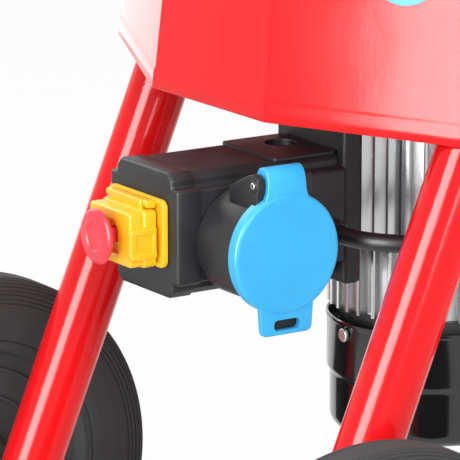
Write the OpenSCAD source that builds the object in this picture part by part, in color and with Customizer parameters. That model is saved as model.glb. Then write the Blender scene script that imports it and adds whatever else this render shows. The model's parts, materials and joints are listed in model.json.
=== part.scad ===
// Wheeled electric garden shredder: a four-legged tube frame on two wheels carries a deck,
// a many-sided blade housing with a tilting feed hopper, and a vertical finned motor under it.
// +Z is up, X runs along the wheel axle, the switch and the wheels are on the -Y side.
// The origin is on the floor under the middle of the machine, which is also the motor's axis.

/* [Frame] */
// Outer diameter of the leg tubes
tube_d = 38; // [32:1:44]
// Wall of the leg tubes
tube_wall = 2; // [1.5:0.5:4]
// Distance of each leg from the middle plane
leg_x = 162; // [145:1:180]
// Distance of a leg from the motor axis, at the housing's lower edge
leg_top_y = 91; // [80:1:100]
// How far a leg spreads for each millimetre that it drops
leg_spread = 0.411; // [0.25:0.01:0.5]
// Height of the cross tube between the foot legs
cross_z = 150; // [90:1:220]
// Diameter of the cross tube and of the handle
bar_d = 25; // [20:1:30]
// Height of the transport handle
handle_z = 345; // [300:1:370]
// Length of the handle's rubber grip
grip_l = 130; // [90:5:200]

/* [Wheels] */
// Wheel radius
wheel_r = 125; // [100:1:150]
// Tyre width
tyre_w = 40; // [30:1:55]
// Radius where the tyre sits on the rim
rim_r = 84; // [70:1:90]
// Distance of the wheel's inner face from the middle plane
wheel_in = 211; // [203:1:225]
// Axle diameter
axle_d = 16; // [12:1:20]

/* [Housing] */
// Height of the housing's lower edge above the floor
body_z = 398; // [370:1:440]
// Height of the housing
housing_h = 110; // [100:1:150]
// Width of the housing's front face at its lower edge
front_w = 122; // [100:1:140]
// Width of the housing over all
housing_w = 454; // [436:1:500]
// Depth of the housing over all
housing_depth = 334; // [328:1:380]
// Length of each side face
side_l = 180; // [170:1:200]
// Sheet thickness of the housing
sheet = 2; // [1.5:0.5:3]
// Inward lean of the front face, for each millimetre of height
lean = 0.1; // [0.05:0.01:0.15]
// Height of the deck's underside above the housing's lower edge
deck_up = 26; // [20:1:30]
// Thickness of the deck
deck_t = 4; // [3:1:6]

/* [Hopper and chute] */
// Width of the hopper's throat
throat_w = 150; // [120:5:170]
// Depth of the hopper's throat
throat_d = 130; // [110:5:140]
// Height of the straight throat
throat_h = 46; // [40:1:80]
// Width of the hopper's mouth
mouth_w = 330; // [250:5:400]
// Depth of the hopper's mouth
mouth_d = 290; // [220:5:340]
// Height of the flared part
flare_h = 310; // [200:5:380]
// Width of the discharge chute
chute_w = 114; // [90:2:118]
// Height of the discharge chute
chute_h = 60; // [45:1:62]
// Distance of the chute's mouth from the motor axis
chute_reach = 236; // [215:1:260]

/* [Blade disc] */
// Radius of the blade disc
disc_r = 125; // [100:1:135]
// Thickness of the blade disc
disc_t = 10; // [6:1:12]
// Number of blades
blade_count = 2; // [2:1:4]
// Length of a blade
blade_l = 66; // [50:1:70]

/* [Motor] */
// Radius over the motor's cooling fins
motor_r = 66; // [62:1:72]
// Depth of the cooling fins
fin_depth = 7; // [4:1:9]
// Number of cooling fins
fin_count = 36; // [24:2:60]
// Thickness of a cooling fin
fin_t = 3; // [2:0.5:4]
// Motor shaft diameter
shaft_d = 19; // [14:1:24]
// Depth of the cowl's rim below the housing's lower edge
cowl_drop = 148; // [130:1:150]
// Height of the cowl's wide collar
collar_h = 36; // [28:1:44]
// Height of the cowl's narrower cup
cup_h = 38; // [34:1:50]

/* [Switch box] */
// Width of the switch box
box_w = 76; // [70:1:90]
// Length of the switch box, from its front face to the adapter plate
box_l = 119; // [110:1:140]
// Height of the box's full-width middle part
box_mid_h = 58; // [52:1:64]
// Height of the narrower parts above and below the middle part
box_shoulder = 9; // [7:1:12]
// Height of the middle of the box
box_z = 329; // [322:1:336]
// Wall of the box
box_wall = 2.5; // [2:0.5:4]
// Width of the yellow switch plate
plate_w = 62; // [58:1:66]
// Height of the yellow switch plate
plate_h = 41; // [38:1:46]
// Depth of the hinged yellow flap
flap_d = 18; // [16:1:24]
// Radius of the stop button
stop_r = 16.8; // [14:0.2:18]

/* [Power inlet] */
// Radius of the inlet's round body
inlet_r = 33; // [28:1:36]
// Distance of the inlet's mouth from the middle plane
inlet_x = 84; // [74:1:90]
// Distance of the inlet's axis behind the box's front face
inlet_back = 46; // [42:1:56]
// Radius of the lid
lid_r = 36.4; // [34:0.2:40]
// Number of contact pins
contact_count = 5; // [3:1:5]

/* [Hidden] */
$fn = 64;
leg_a = atan(leg_spread);
deck_z = body_z + deck_up;
deck_top = deck_z + deck_t;
top_z = body_z + housing_h;
axle_z = wheel_r;
plate_t = 4;             // weld plate on top of a leg
bolt_r = 4;              // M8 fasteners
head_h = 5;
big_head_r = 6.5;        // heads of the housing and flange bolts
leg_bolt_ys = [50, 62];  // distances of a leg's bolts from the middle
leg_bolt_in = 28;        // distance of those bolts inside the leg
housing_bolt_at = [[40, 145], [196, 40]];
foot_floor = 7.9;         // rubber under the end of a foot leg
gap = 0.3;               // clearance between pieces that don't touch
fit = 0.05;              // radial running clearance
eps = 0.01;

function leg_y(z) = leg_top_y + leg_spread * (body_z - z);
axle_y = -leg_y(axle_z);
reach = -axle_y + wheel_r;           // the handle reaches as far forward as the wheels reach back
grip_t = 3.5;
bar_y = reach - grip_t - bar_d / 2;
wheel_out = wheel_in + tyre_w;

// The housing's outline shrinks evenly as it rises.
function taper(z) = 1 - lean * (z - body_z) / (housing_depth / 2);
outline = [for (q = [[-1, -1], [1, -1], [1, 1], [-1, 1]]) each (q[0] * q[1] > 0
    ? [[q[0] * housing_w / 2, q[1] * side_l / 2], [q[0] * front_w / 2, q[1] * housing_depth / 2]]
    : [[q[0] * front_w / 2, q[1] * housing_depth / 2], [q[0] * housing_w / 2, q[1] * side_l / 2]])];
function unit(v) = v / norm(v);
function turn_in(v) = [-v[1], v[0]];
function inset(p, d) = [for (i = [0:len(p) - 1])
    let (a = turn_in(unit(p[i] - p[(i + len(p) - 1) % len(p)])),
         b = turn_in(unit(p[(i + 1) % len(p)] - p[i])))
    p[i] + (a + b) * d / (1 + a * b)];
function outline_at(z, d) = inset(outline * taper(z), d);

// Motor levels, from the deck downwards
flange_t = 12;
flange_r = 80;
flange_pcd = 130;
spigot_r = 55;
barrel_top = deck_z - flange_t - 6;
cowl_top = body_z - cowl_drop;
cup_z = cowl_top - collar_h;
cowl_z = cup_z - cup_h;
shield_t = 12;
barrel_z = cowl_top + 6;
shield_z = barrel_z - shield_t;
core_r = motor_r - fin_depth;        // barrel under its fins
bore_r = core_r - 6;
stator_in = 34;
shaft_r = shaft_d / 2;
bearing_r = 20;
bearing_h = 12;
cowl_sheet = 1.5;
collar_in = motor_r - cowl_sheet;
cup_in = collar_in - 2;
hub_h = 36;
hub_z = deck_top + 8;
disc_z = hub_z + hub_h;
shaft_top = disc_z + disc_t + 1;
blade_t = 5;
blade_w = 30;

// Switch box levels
pad_t = 14;                          // flat pad on the motor barrel
pad_y = -(motor_r + pad_t);
pad_root = 40;                       // the pads reach in to here, inside the barrel
adapter_t = 13;
adapter_y = pad_y - adapter_t;
box_back = adapter_y;
box_y = box_back - box_l;            // front face
seam_y = box_back - 34;              // where the cover meets the base
plate_thick = 4;
plate_z = box_z + 1;
plate_x = -3;
flap_y = box_y - plate_thick - flap_d;
flap_w = 48;
flap_h = 35;
flap_z = plate_z - 3;
flap_wall = 2;
flap_pin_r = 1.5;
flap_pin_y = box_y - plate_thick - 4.5;
flap_pin_z = flap_z + flap_h / 2 + 3.2;
button_r = 5.5;
start_dx = 14;                       // start button beside the stop button
button_out = 3;                      // how far the inner buttons stand proud of the plate
stop_h = 6.5;                        // thickness of the mushroom head
stop_travel = 3;
stem_r = 5;
head_y = flap_y - stop_travel - 0.5 - stop_h;

// Inlet levels
inlet_y = box_y + inlet_back;
inlet_z = box_z - 5;
inlet_wall = 3;
lid_skirt = 4;
hinge_r = 4.5;
hinge_pin_r = 2;
hinge_x = inlet_x - 3;
hinge_z = inlet_z + lid_r + 5;
hinge_w = 38;
lug_t = 5;                           // each of the inlet's hinge lugs
lug_back = 26;                       // how far a lug's foot reaches behind the hinge

// Hopper hinge and knobs
seat_t = 3;                          // hopper's flange sheet
hopper_z = top_z + gap;
flange_margin = 30;
hop_hinge_y = throat_d / 2 + flange_margin + 9;
hop_hinge_r = 6;
hop_hinge_z = top_z + hop_hinge_r + 2;
hop_pin_r = 3;
knob_x = 52;
knob_r = 17;
knob_y = -(throat_d / 2 + knob_r + 2);
knob_h = 18;

// Chute
chute_z = deck_top + 8;
chute_pin_r = 3;
chute_pin_y = chute_reach - 6;
chute_pin_z = chute_z + chute_h + 7;

// Motor lead, from the box's side to the capacitor box behind the motor
lead_r = 5.5;
lead_z = 322;
cap_box_w = 60;
cap_box_h = 90;
cap_box_t = 40;
cap_box_y = motor_r + 1;
cap_box_z = box_z - 52;
lead_bend = 8 * lead_r;              // no tighter than four diameters
lead_y = [seam_y + 19, cap_box_y + 22];
lead_gland_x = 54;
lead_turn_x = lead_gland_x + 4;
function lead_turn(a) = lead_turn_x + lead_bend * sin(a);
function lead_turn_y(a) = lead_bend * (1 - cos(a));
lead_points = concat(
    [[lead_gland_x, lead_y[0]]],
    [for (a = [0:15:90]) [lead_turn(a), lead_y[0] + lead_turn_y(a)]],
    [for (a = [90:-15:0]) [lead_turn(a), lead_y[1] - lead_turn_y(a)]],
    [[lead_gland_x, lead_y[1]]]);

// ---- shared shapes ----

// A closed prism between two outlines with the same number of corners.
module frustum(low, high, z0, z1) {
    n = len(low);
    polyhedron(
        points = concat([for (p = low) [p[0], p[1], z0]], [for (p = high) [p[0], p[1], z1]]),
        faces = concat([[for (i = [0:n - 1]) i]], [[for (i = [n - 1:-1:0]) n + i]],
            [for (i = [0:n - 1]) [i, i + n, (i + 1) % n + n, (i + 1) % n]]),
        convexity = 4);
}

function rectangle(w, d) = [[-w / 2, -d / 2], [w / 2, -d / 2], [w / 2, d / 2], [-w / 2, d / 2]];

module both_sides() {
    for (side = [-1, 1]) translate([side * leg_x, 0, 0]) children();
}

module x_rod(r, length, centred = true) {
    rotate([0, 90, 0]) cylinder(r = r, h = length, center = centred);
}

module y_rod(r, length) {
    rotate([-90, 0, 0]) cylinder(r = r, h = length);
}

// A sloping cylinder on a leg's centre line: way is -1 on the wheel side, 1 on the foot side.
module along_leg(way, r, z0, z1) {
    translate([0, way * leg_y(z0), z0]) rotate([way * leg_a, 0, 0])
        cylinder(r = r, h = (z1 - z0) / cos(leg_a));
}

module leg_plate(way) {
    translate([-37, way > 0 ? 40 : -leg_y(deck_z) - 12, deck_z - plate_t])
        cube([54, leg_y(deck_z) - 28, plate_t]);
}

module plate_holes(way, r, z0, h) {
    for (dy = leg_bolt_ys) translate([-leg_bolt_in, way * dy, z0]) cylinder(r = r, h = h);
}

module at_leg_bolts() {
    for (side = [-1, 1], way = [-1, 1], dy = leg_bolt_ys)
        translate([side * (leg_x - leg_bolt_in), way * dy, 0]) children();
}

module at_housing_bolts() {
    for (side = [-1, 1], way = [-1, 1], at = housing_bolt_at)
        translate([side * at[0], way * at[1], 0]) children();
}

module hex(r, h) {
    cylinder(r = r, h = h, $fn = 6);
}

// ---- frame ----

module leg(way, z0) {
    color("crimson") difference() {
        union() {
            along_leg(way, tube_d / 2, z0 - 20, deck_z + 20);
            leg_plate(way);
        }
        along_leg(way, tube_d / 2 - tube_wall, z0 - 40, deck_z - plate_t);
        translate([-60, -200, deck_z]) cube([120, 400, 60]);
        translate([-60, -600, z0 - 60]) cube([120, 1200, 60]);
        plate_holes(way, bolt_r + gap, deck_z - plate_t - 1, plate_t + 2);
    }
}

module wheel_leg(side) {
    translate([side * leg_x, 0, 0]) mirror([side > 0 ? 0 : 1, 0, 0]) difference() {
        leg(-1, axle_z - 26);
        translate([0, axle_y, axle_z]) x_rod(axle_d / 2 + fit, tube_d + 20);
    }
}

module foot_leg(side) {
    translate([side * leg_x, 0, 0]) mirror([side > 0 ? 0 : 1, 0, 0]) leg(1, foot_floor + 0.1);
}

module wheel_leg_left() { wheel_leg(-1); }
module wheel_leg_right() { wheel_leg(1); }
module foot_leg_left() { foot_leg(-1); }
module foot_leg_right() { foot_leg(1); }

// The cross tube's ends are cut to the legs' round surface.
module foot_cross_tube() {
    color("crimson") difference() {
        translate([0, leg_y(cross_z), cross_z]) x_rod(bar_d / 2, 2 * leg_x);
        translate([0, leg_y(cross_z), cross_z]) x_rod(bar_d / 2 - tube_wall, 2 * leg_x + 2);
        both_sides() along_leg(1, tube_d / 2 + eps, 20, deck_z - 20);
    }
}

module leg_plugs() {
    color([0.08, 0.08, 0.08]) both_sides() difference() {
        along_leg(-1, tube_d / 2, axle_z - 31, axle_z - 22);
        translate([-60, -600, axle_z - 26]) cube([120, 1200, 60]);
        translate([-60, -600, axle_z - 90]) cube([120, 1200, 60]);
    }
}

module rubber_feet() {
    color([0.06, 0.06, 0.06]) both_sides() difference() {
        along_leg(1, tube_d / 2 + 3.5, -12, 42);
        along_leg(1, tube_d / 2 + 2 * fit, -20, 60);
        translate([-60, -600, -60]) cube([120, 1200, 60]);
    }
    color([0.06, 0.06, 0.06]) both_sides() intersection() {
        along_leg(1, tube_d / 2 + 1, -12, 42);
        translate([-60, -600, 0]) cube([120, 1200, foot_floor]);
    }
}

module handle_bars(r) {
    leg_here = leg_y(handle_z);
    both_sides() translate([0, leg_here, handle_z]) y_rod(r, bar_y - leg_here);
    both_sides() translate([0, bar_y, handle_z]) sphere(r = r);
    translate([0, bar_y, handle_z]) x_rod(r, 2 * leg_x);
}

module transport_handle() {
    color("crimson") difference() {
        handle_bars(bar_d / 2);
        handle_bars(bar_d / 2 - tube_wall);
        both_sides() along_leg(1, tube_d / 2 + eps, handle_z - 60, handle_z + 60);
    }
}

module handle_grip() {
    color([0.06, 0.06, 0.06]) translate([0, bar_y, handle_z]) difference() {
        x_rod(bar_d / 2 + grip_t, grip_l);
        x_rod(bar_d / 2 + fit, grip_l + 2);
    }
}

// ---- wheels ----

axle_half = wheel_out + 14;

module axle() {
    color("silver") translate([0, axle_y, axle_z]) x_rod(axle_d / 2, 2 * axle_half);
}

module on_axle(x0, length) {
    for (side = [-1, 1])
        translate([side * (x0 + length / 2), axle_y, axle_z]) x_rod_ring(length) children();
}

module x_rod_ring(length) {
    rotate([0, 90, 0]) translate([0, 0, -length / 2]) children();
}

module ring(outer, inner, h) {
    difference() {
        cylinder(r = outer, h = h);
        translate([0, 0, -1]) cylinder(r = inner, h = h + 2);
    }
}

module axle_spacers() {
    from = leg_x + tube_d / 2 + gap;
    color([0.1, 0.1, 0.1]) on_axle(from, wheel_in - gap - from)
        ring(axle_d / 2 + 4, axle_d / 2 + fit, wheel_in - gap - from);
}

module axle_washers() {
    color("silver") on_axle(wheel_out + gap, 2) ring(axle_d / 2 + 7, axle_d / 2 + fit, 2);
}

module axle_cap_nuts() {
    nut_h = axle_half + 4 - wheel_out - 2 - 2 * gap;
    from = wheel_out + 2 + 2 * gap;
    color("silver") for (side = [-1, 1])
        translate([side * from, axle_y, axle_z]) rotate([0, side * 90, 0]) difference() {
            union() {
                hex(axle_d / 2 + 5, nut_h - 6);
                cylinder(r = axle_d / 2 + 3, h = nut_h);
            }
            translate([0, 0, -1]) cylinder(r = axle_d / 2 + fit, h = axle_half - from + 1 + gap);
        }
}

// Solid rubber tyre: rounded shoulders, a stepped sidewall and ribs round the tread.
module tyre(side) {
    rib = tyre_w / 7;
    color([0.07, 0.07, 0.07]) translate([side * (wheel_in + tyre_w / 2), axle_y, axle_z])
        rotate([0, 90, 0]) rotate_extrude($fn = 96) difference() {
            polygon([[rim_r + fit, -tyre_w / 2 + 3], [rim_r + 16, -tyre_w / 2],
                [wheel_r - 12, -tyre_w / 2], [wheel_r - 3, -tyre_w / 2 + 5],
                [wheel_r, -tyre_w / 2 + 12], [wheel_r, tyre_w / 2 - 12],
                [wheel_r - 3, tyre_w / 2 - 5], [wheel_r - 12, tyre_w / 2],
                [rim_r + 16, tyre_w / 2], [rim_r + fit, tyre_w / 2 - 3]]);
            for (i = [-1:1]) translate([wheel_r - 2, i * rib - 1]) square([4, 2]);
        }
}

module wheel_rim(side) {
    color([0.1, 0.1, 0.1]) translate([side * (wheel_in + tyre_w / 2), axle_y, axle_z])
        rotate([0, 90, 0]) rotate_extrude($fn = 96)
            polygon([[axle_d / 2 + fit, -tyre_w / 2], [axle_d / 2 + 12, -tyre_w / 2],
                [axle_d / 2 + 16, -7], [rim_r - 12, -7], [rim_r - 6, -tyre_w / 2 + 5],
                [rim_r, -tyre_w / 2 + 5], [rim_r, tyre_w / 2 - 5], [rim_r - 6, tyre_w / 2 - 5],
                [rim_r - 12, 7], [axle_d / 2 + 16, 7], [axle_d / 2 + 12, tyre_w / 2],
                [axle_d / 2 + fit, tyre_w / 2]]);
}

module tyre_left() { tyre(-1); }
module tyre_right() { tyre(1); }
module wheel_rim_left() { wheel_rim(-1); }
module wheel_rim_right() { wheel_rim(1); }

// ---- deck and housing ----

module deck() {
    slot_d = flange_pcd / 2;
    color("crimson") difference() {
        translate([0, 0, deck_z]) linear_extrude(deck_t) polygon(outline_at(deck_top, sheet + 0.5));
        translate([0, 0, deck_z - 1]) cylinder(r = spigot_r + fit, h = deck_t + 2);
        for (a = [45:90:315]) rotate([0, 0, a]) translate([slot_d, 0, deck_z - 1])
            cylinder(r = bolt_r + gap, h = deck_t + 2);
        translate([0, 0, deck_z - 1]) {
            at_leg_bolts() cylinder(r = bolt_r + gap, h = deck_t + 2);
            at_housing_bolts() cylinder(r = bolt_r + gap, h = deck_t + 2);
        }
    }
}

module leg_bolts() {
    head_r = 5.8;
    color("silver") at_leg_bolts() {
        translate([0, 0, deck_z - plate_t - head_h]) cylinder(r = head_r, h = head_h);
        translate([0, 0, deck_z - plate_t - 1]) cylinder(r = bolt_r, h = plate_t + deck_t + 9);
        translate([0, 0, deck_top]) ring(head_r, bolt_r + fit, 6);
    }
}

module housing_walls() {
    hem = 1.5;
    difference() {
        union() {
            frustum(outline_at(body_z, 0), outline_at(top_z, 0), body_z, top_z);
            frustum(outline_at(body_z, -hem), outline_at(body_z + 12, -hem), body_z, body_z + 12);
        }
        frustum(outline_at(body_z - 5, sheet), outline_at(top_z - sheet, sheet), body_z - 5,
            top_z - sheet);
    }
}

module blade_housing() {
    color("crimson") difference() {
        union() {
            housing_walls();
            difference() {
                translate([0, 0, deck_top]) linear_extrude(sheet)
                    polygon(outline_at(deck_top + sheet, sheet / 2));
                translate([0, 0, deck_top - 1]) linear_extrude(sheet + 2)
                    polygon(outline_at(deck_top, 42));
            }
        }
        translate([-throat_w / 2 + 4, -throat_d / 2 + 4, top_z - 10])
            cube([throat_w - 8, throat_d - 8, 20]);
        translate([-chute_w / 2 + sheet, 50, chute_z + sheet])
            cube([chute_w - 2 * sheet, 200, chute_h - 2 * sheet]);
        translate([0, 0, deck_top - 1]) at_housing_bolts() cylinder(r = bolt_r + gap, h = sheet + 2);
        for (side = [-1, 1]) translate([side * knob_x, knob_y, top_z - 10])
            cylinder(r = bolt_r + 1.5, h = 20);
    }
}

module housing_bolts() {
    z0 = deck_z - 2 - head_h;
    color("silver") at_housing_bolts() {
        translate([0, 0, z0]) cylinder(r = big_head_r, h = head_h + 2);
        translate([0, 0, z0 + 1]) cylinder(r = bolt_r, h = deck_t + head_h + 8);
    }
}

module counter_blade() {
    color("silver") translate([disc_r * 0.32, -12, top_z - sheet - 12]) cube([78, 24, 12]);
}

// The chute's root is cut to the housing's leaning wall.
module discharge_chute() {
    color("crimson") difference() {
        union() {
            translate([-chute_w / 2, 120, chute_z]) cube([chute_w, chute_reach - 120, chute_h]);
            for (side = [-1, 1])
                translate([side * (chute_w / 2 - 5) - 5, chute_pin_y, chute_pin_z])
                    rotate([0, 90, 0]) cylinder(r = 6, h = 10);
            for (side = [-1, 1])
                translate([side * (chute_w / 2 - 5) - 5, chute_pin_y - 6, chute_z + chute_h - 1])
                    cube([10, 12, 8]);
        }
        translate([-chute_w / 2 + sheet, 100, chute_z + sheet])
            cube([chute_w - 2 * sheet, 200, chute_h - 2 * sheet]);
        frustum(outline_at(body_z, 0), outline_at(top_z, 0), body_z, top_z);
        translate([0, chute_pin_y, chute_pin_z]) x_rod(chute_pin_r + fit, chute_w + 10);
    }
}

module chute_flap() {
    inner_w = chute_w - 20 - 2;
    color("crimson") difference() {
        union() {
            translate([-inner_w / 2, chute_pin_y, chute_pin_z]) rotate([0, 90, 0])
                cylinder(r = 6, h = inner_w);
            translate([-inner_w / 2, chute_pin_y, chute_pin_z + 3])
                cube([inner_w, chute_reach + 3 - chute_pin_y, 3]);
            translate([-inner_w / 2, chute_reach + 1, chute_pin_z - 9])
                cube([inner_w, 2, 15]);
            translate([-chute_w / 2, chute_reach + 1, chute_z]) cube([chute_w, 2, chute_h - 2]);
        }
        translate([0, chute_pin_y, chute_pin_z]) x_rod(chute_pin_r + fit, chute_w + 10);
    }
}

module chute_flap_pin() {
    color("silver") translate([0, chute_pin_y, chute_pin_z]) {
        x_rod(chute_pin_r, chute_w + 6);
        for (side = [-1, 1]) translate([side * (chute_w / 2 + 2.5), 0, 0])
            x_rod(chute_pin_r + 2, 4);
    }
}

// ---- hopper ----

module feed_hopper() {
    z1 = hopper_z + seat_t + throat_h;
    z2 = z1 + flare_h;
    lip = 8;
    knuckle = 44;
    color("crimson") difference() {
        union() {
            translate([-(throat_w + flange_margin) / 2, -throat_d / 2 - flange_margin, hopper_z])
                cube([throat_w + flange_margin, throat_d + 2 * flange_margin, seat_t]);
            translate([-throat_w / 2, -throat_d / 2, hopper_z]) cube([throat_w, throat_d, throat_h + 4]);
            frustum(rectangle(throat_w, throat_d), rectangle(mouth_w, mouth_d), z1, z2);
            frustum(rectangle(mouth_w - 6, mouth_d - 6), rectangle(mouth_w + 2 * lip, mouth_d + 2 * lip),
                z2 - 4, z2 + 4);
            translate([0, hop_hinge_y, hop_hinge_z]) x_rod(hop_hinge_r, knuckle);
            translate([-knuckle / 2, hop_hinge_y - 12, hopper_z]) cube([knuckle, 12, 5]);
        }
        translate([0, 0, -sheet]) frustum(rectangle(throat_w - 2 * sheet, throat_d - 2 * sheet),
            rectangle(mouth_w - 2 * sheet, mouth_d - 2 * sheet), z1 + sheet, z2 + sheet);
        translate([-throat_w / 2 + sheet, -throat_d / 2 + sheet, hopper_z - 5])
            cube([throat_w - 2 * sheet, throat_d - 2 * sheet, throat_h + 12]);
        translate([-mouth_w / 2 + sheet, -mouth_d / 2 + sheet, z2 - eps])
            cube([mouth_w - 2 * sheet, mouth_d - 2 * sheet, 20]);
        translate([0, hop_hinge_y, hop_hinge_z]) x_rod(hop_pin_r + fit, 60);
        for (side = [-1, 1]) translate([side * knob_x, knob_y, hopper_z - 1])
            cylinder(r = bolt_r + gap, h = seat_t + 2);
    }
}

module hopper_hinge() {
    color([0.12, 0.12, 0.12]) difference() {
        union() {
            for (side = [-1, 1]) translate([side * 38, hop_hinge_y, hop_hinge_z])
                x_rod(hop_hinge_r, 28);
            for (side = [-1, 1]) translate([side * 38 - 14, hop_hinge_y - 2, top_z])
                cube([28, 10, hop_hinge_r + 1]);
            translate([-52, hop_hinge_y + 0.5, top_z]) cube([104, 24, 1.5]);
        }
        translate([0, hop_hinge_y, hop_hinge_z]) x_rod(hop_pin_r + fit, 120);
        translate([-23, hop_hinge_y - 12, top_z - 1]) cube([46, 22, 20]);
    }
}

module hopper_hinge_pin() {
    color("silver") translate([0, hop_hinge_y, hop_hinge_z]) {
        x_rod(hop_pin_r, 108);
        for (side = [-1, 1]) translate([side * 54.5, 0, 0]) x_rod(hop_pin_r + 2, 4);
    }
}

// Captive star knob with its clamping screw.
module knob(side) {
    seat = hopper_z + seat_t + gap;
    color([0.1, 0.1, 0.1]) translate([side * knob_x, knob_y, 0]) {
        difference() {
            translate([0, 0, seat]) cylinder(r = knob_r, h = knob_h);
            for (a = [0:60:300]) rotate([0, 0, a]) translate([knob_r + 3, 0, seat - 1])
                cylinder(r = 6, h = knob_h + 2);
        }
        translate([0, 0, top_z - sheet - 6]) cylinder(r = bolt_r, h = seat + 2 - (top_z - sheet - 6));
    }
}

module knob_left() { knob(-1); }
module knob_right() { knob(1); }

// ---- blade disc ----

module blade_disc() {
    color("silver") difference() {
        union() {
            translate([0, 0, hub_z]) cylinder(r = 26, h = hub_h + 1);
            translate([0, 0, disc_z]) cylinder(r = disc_r, h = disc_t);
        }
        translate([0, 0, hub_z - 1]) cylinder(r = shaft_r + fit, h = hub_h + disc_t + 2);
        for (i = [0:blade_count - 1]) rotate([0, 0, i * 360 / blade_count]) {
            translate([disc_r - blade_l - 8, blade_w / 2 + 1, disc_z - 1])
                cube([blade_l - 6, 12, disc_t + 2]);
            for (dx = [16, blade_l - 16]) translate([disc_r - blade_l - 8 + dx, 0, disc_z - 1])
                cylinder(r = 3, h = disc_t + 2);
        }
    }
}

module blades() {
    color([0.8, 0.8, 0.82]) for (i = [0:blade_count - 1]) rotate([0, 0, i * 360 / blade_count])
        translate([disc_r - blade_l - 8, 0, disc_z + disc_t]) difference() {
            rotate([90, 0, 90]) linear_extrude(blade_l)
                polygon([[-blade_w / 2, 0], [blade_w / 2 + 4, 0], [blade_w / 2 - 2, blade_t],
                    [-blade_w / 2, blade_t]]);
            for (dx = [16, blade_l - 16]) translate([dx, 0, -1]) cylinder(r = 3.2, h = blade_t + 2);
        }
}

module blade_bolts() {
    color([0.3, 0.3, 0.3]) for (i = [0:blade_count - 1], dx = [16, blade_l - 16])
        rotate([0, 0, i * 360 / blade_count]) translate([disc_r - blade_l - 8 + dx, 0, disc_z + 1]) {
            cylinder(r = 2.95, h = disc_t + blade_t - 1);
            translate([0, 0, disc_t + blade_t - 1]) cylinder(r = 5.5, h = 3.5);
        }
}

module disc_retainer() {
    color("silver") {
        translate([0, 0, shaft_top]) cylinder(r = 18, h = 3);
        translate([0, 0, shaft_top + 3]) hex(9, 6);
    }
}

// ---- motor ----

module motor_flange() {
    color([0.14, 0.14, 0.15]) difference() {
        union() {
            translate([0, 0, deck_z - flange_t]) cylinder(r = flange_r, h = flange_t);
            translate([0, 0, deck_z - 1]) cylinder(r = spigot_r, h = deck_t);
            translate([0, 0, barrel_top]) cylinder(r = core_r - 2, h = deck_z - flange_t - barrel_top);
            translate([0, 0, barrel_top - 8]) cylinder(r = bore_r - fit, h = 9);
        }
        translate([0, 0, barrel_top - 9]) cylinder(r = bearing_r + fit, h = bearing_h + 5);
        translate([0, 0, barrel_top]) cylinder(r = shaft_r + 1, h = 60);
        for (a = [45:90:315]) rotate([0, 0, a]) translate([flange_pcd / 2, 0, deck_z - flange_t - 1])
            cylinder(r = bolt_r + gap, h = flange_t + 2);
    }
}

module flange_bolts() {
    z0 = deck_z - flange_t - head_h;
    color("silver") for (a = [45:90:315]) rotate([0, 0, a]) translate([flange_pcd / 2, 0, 0]) {
        translate([0, 0, z0]) cylinder(r = big_head_r, h = head_h);
        translate([0, 0, z0 + 1]) cylinder(r = bolt_r, h = flange_t + deck_t + 10);
    }
}

module motor_barrel() {
    h = barrel_top - barrel_z;
    color("silver") translate([0, 0, barrel_z]) difference() {
        union() {
            cylinder(r = core_r, h = h);
            linear_extrude(h) for (i = [0:fin_count - 1]) rotate(i * 360 / fin_count)
                translate([0, -fin_t / 2]) square([motor_r, fin_t]);
            translate([-box_w / 2 + 2, pad_y, 50]) cube([box_w - 4, -pad_y - pad_root, h - 52]);
            translate([-cap_box_w / 2 + 2, pad_root, 40])
                cube([cap_box_w - 4, cap_box_y - pad_root, h - 50]);
        }
        translate([0, 0, -1]) cylinder(r = bore_r, h = h + 2);
    }
}

module stator() {
    color([0.55, 0.35, 0.2]) translate([0, 0, barrel_z + 26])
        ring(bore_r - fit, stator_in, barrel_top - barrel_z - 58);
}

module rotor_core() {
    color([0.5, 0.5, 0.52]) translate([0, 0, barrel_z + 28])
        ring(stator_in - 0.5, shaft_r + fit, barrel_top - barrel_z - 62);
}

module motor_shaft() {
    color("silver") translate([0, 0, cowl_z + 12])
        cylinder(r = shaft_r, h = shaft_top - cowl_z - 12);
}

module motor_bearings() {
    color([0.7, 0.7, 0.72]) for (z = [barrel_z + 3, barrel_top - 8])
        translate([0, 0, z]) ring(bearing_r, shaft_r + fit, bearing_h - 1);
}

module lower_shield() {
    color([0.14, 0.14, 0.15]) difference() {
        union() {
            translate([0, 0, shield_z]) cylinder(r = core_r - 1, h = shield_t);
            translate([0, 0, barrel_z - 1]) cylinder(r = bore_r - fit, h = 18);
        }
        translate([0, 0, barrel_z + 2.5]) cylinder(r = bearing_r + fit, h = 40);
        translate([0, 0, shield_z - 1]) cylinder(r = shaft_r + 1, h = 60);
    }
}

module cooling_fan() {
    z0 = cowl_z + 14;
    color([0.1, 0.1, 0.1]) difference() {
        union() {
            translate([0, 0, z0]) cylinder(r = 16, h = 26);
            translate([0, 0, z0 + 22]) cylinder(r = 50, h = 3);
            for (a = [0:45:315]) rotate([0, 0, a]) translate([12, -1, z0 + 4]) cube([38, 2, 20]);
        }
        translate([0, 0, z0 - 1]) cylinder(r = shaft_r + fit, h = 40);
    }
}

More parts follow.
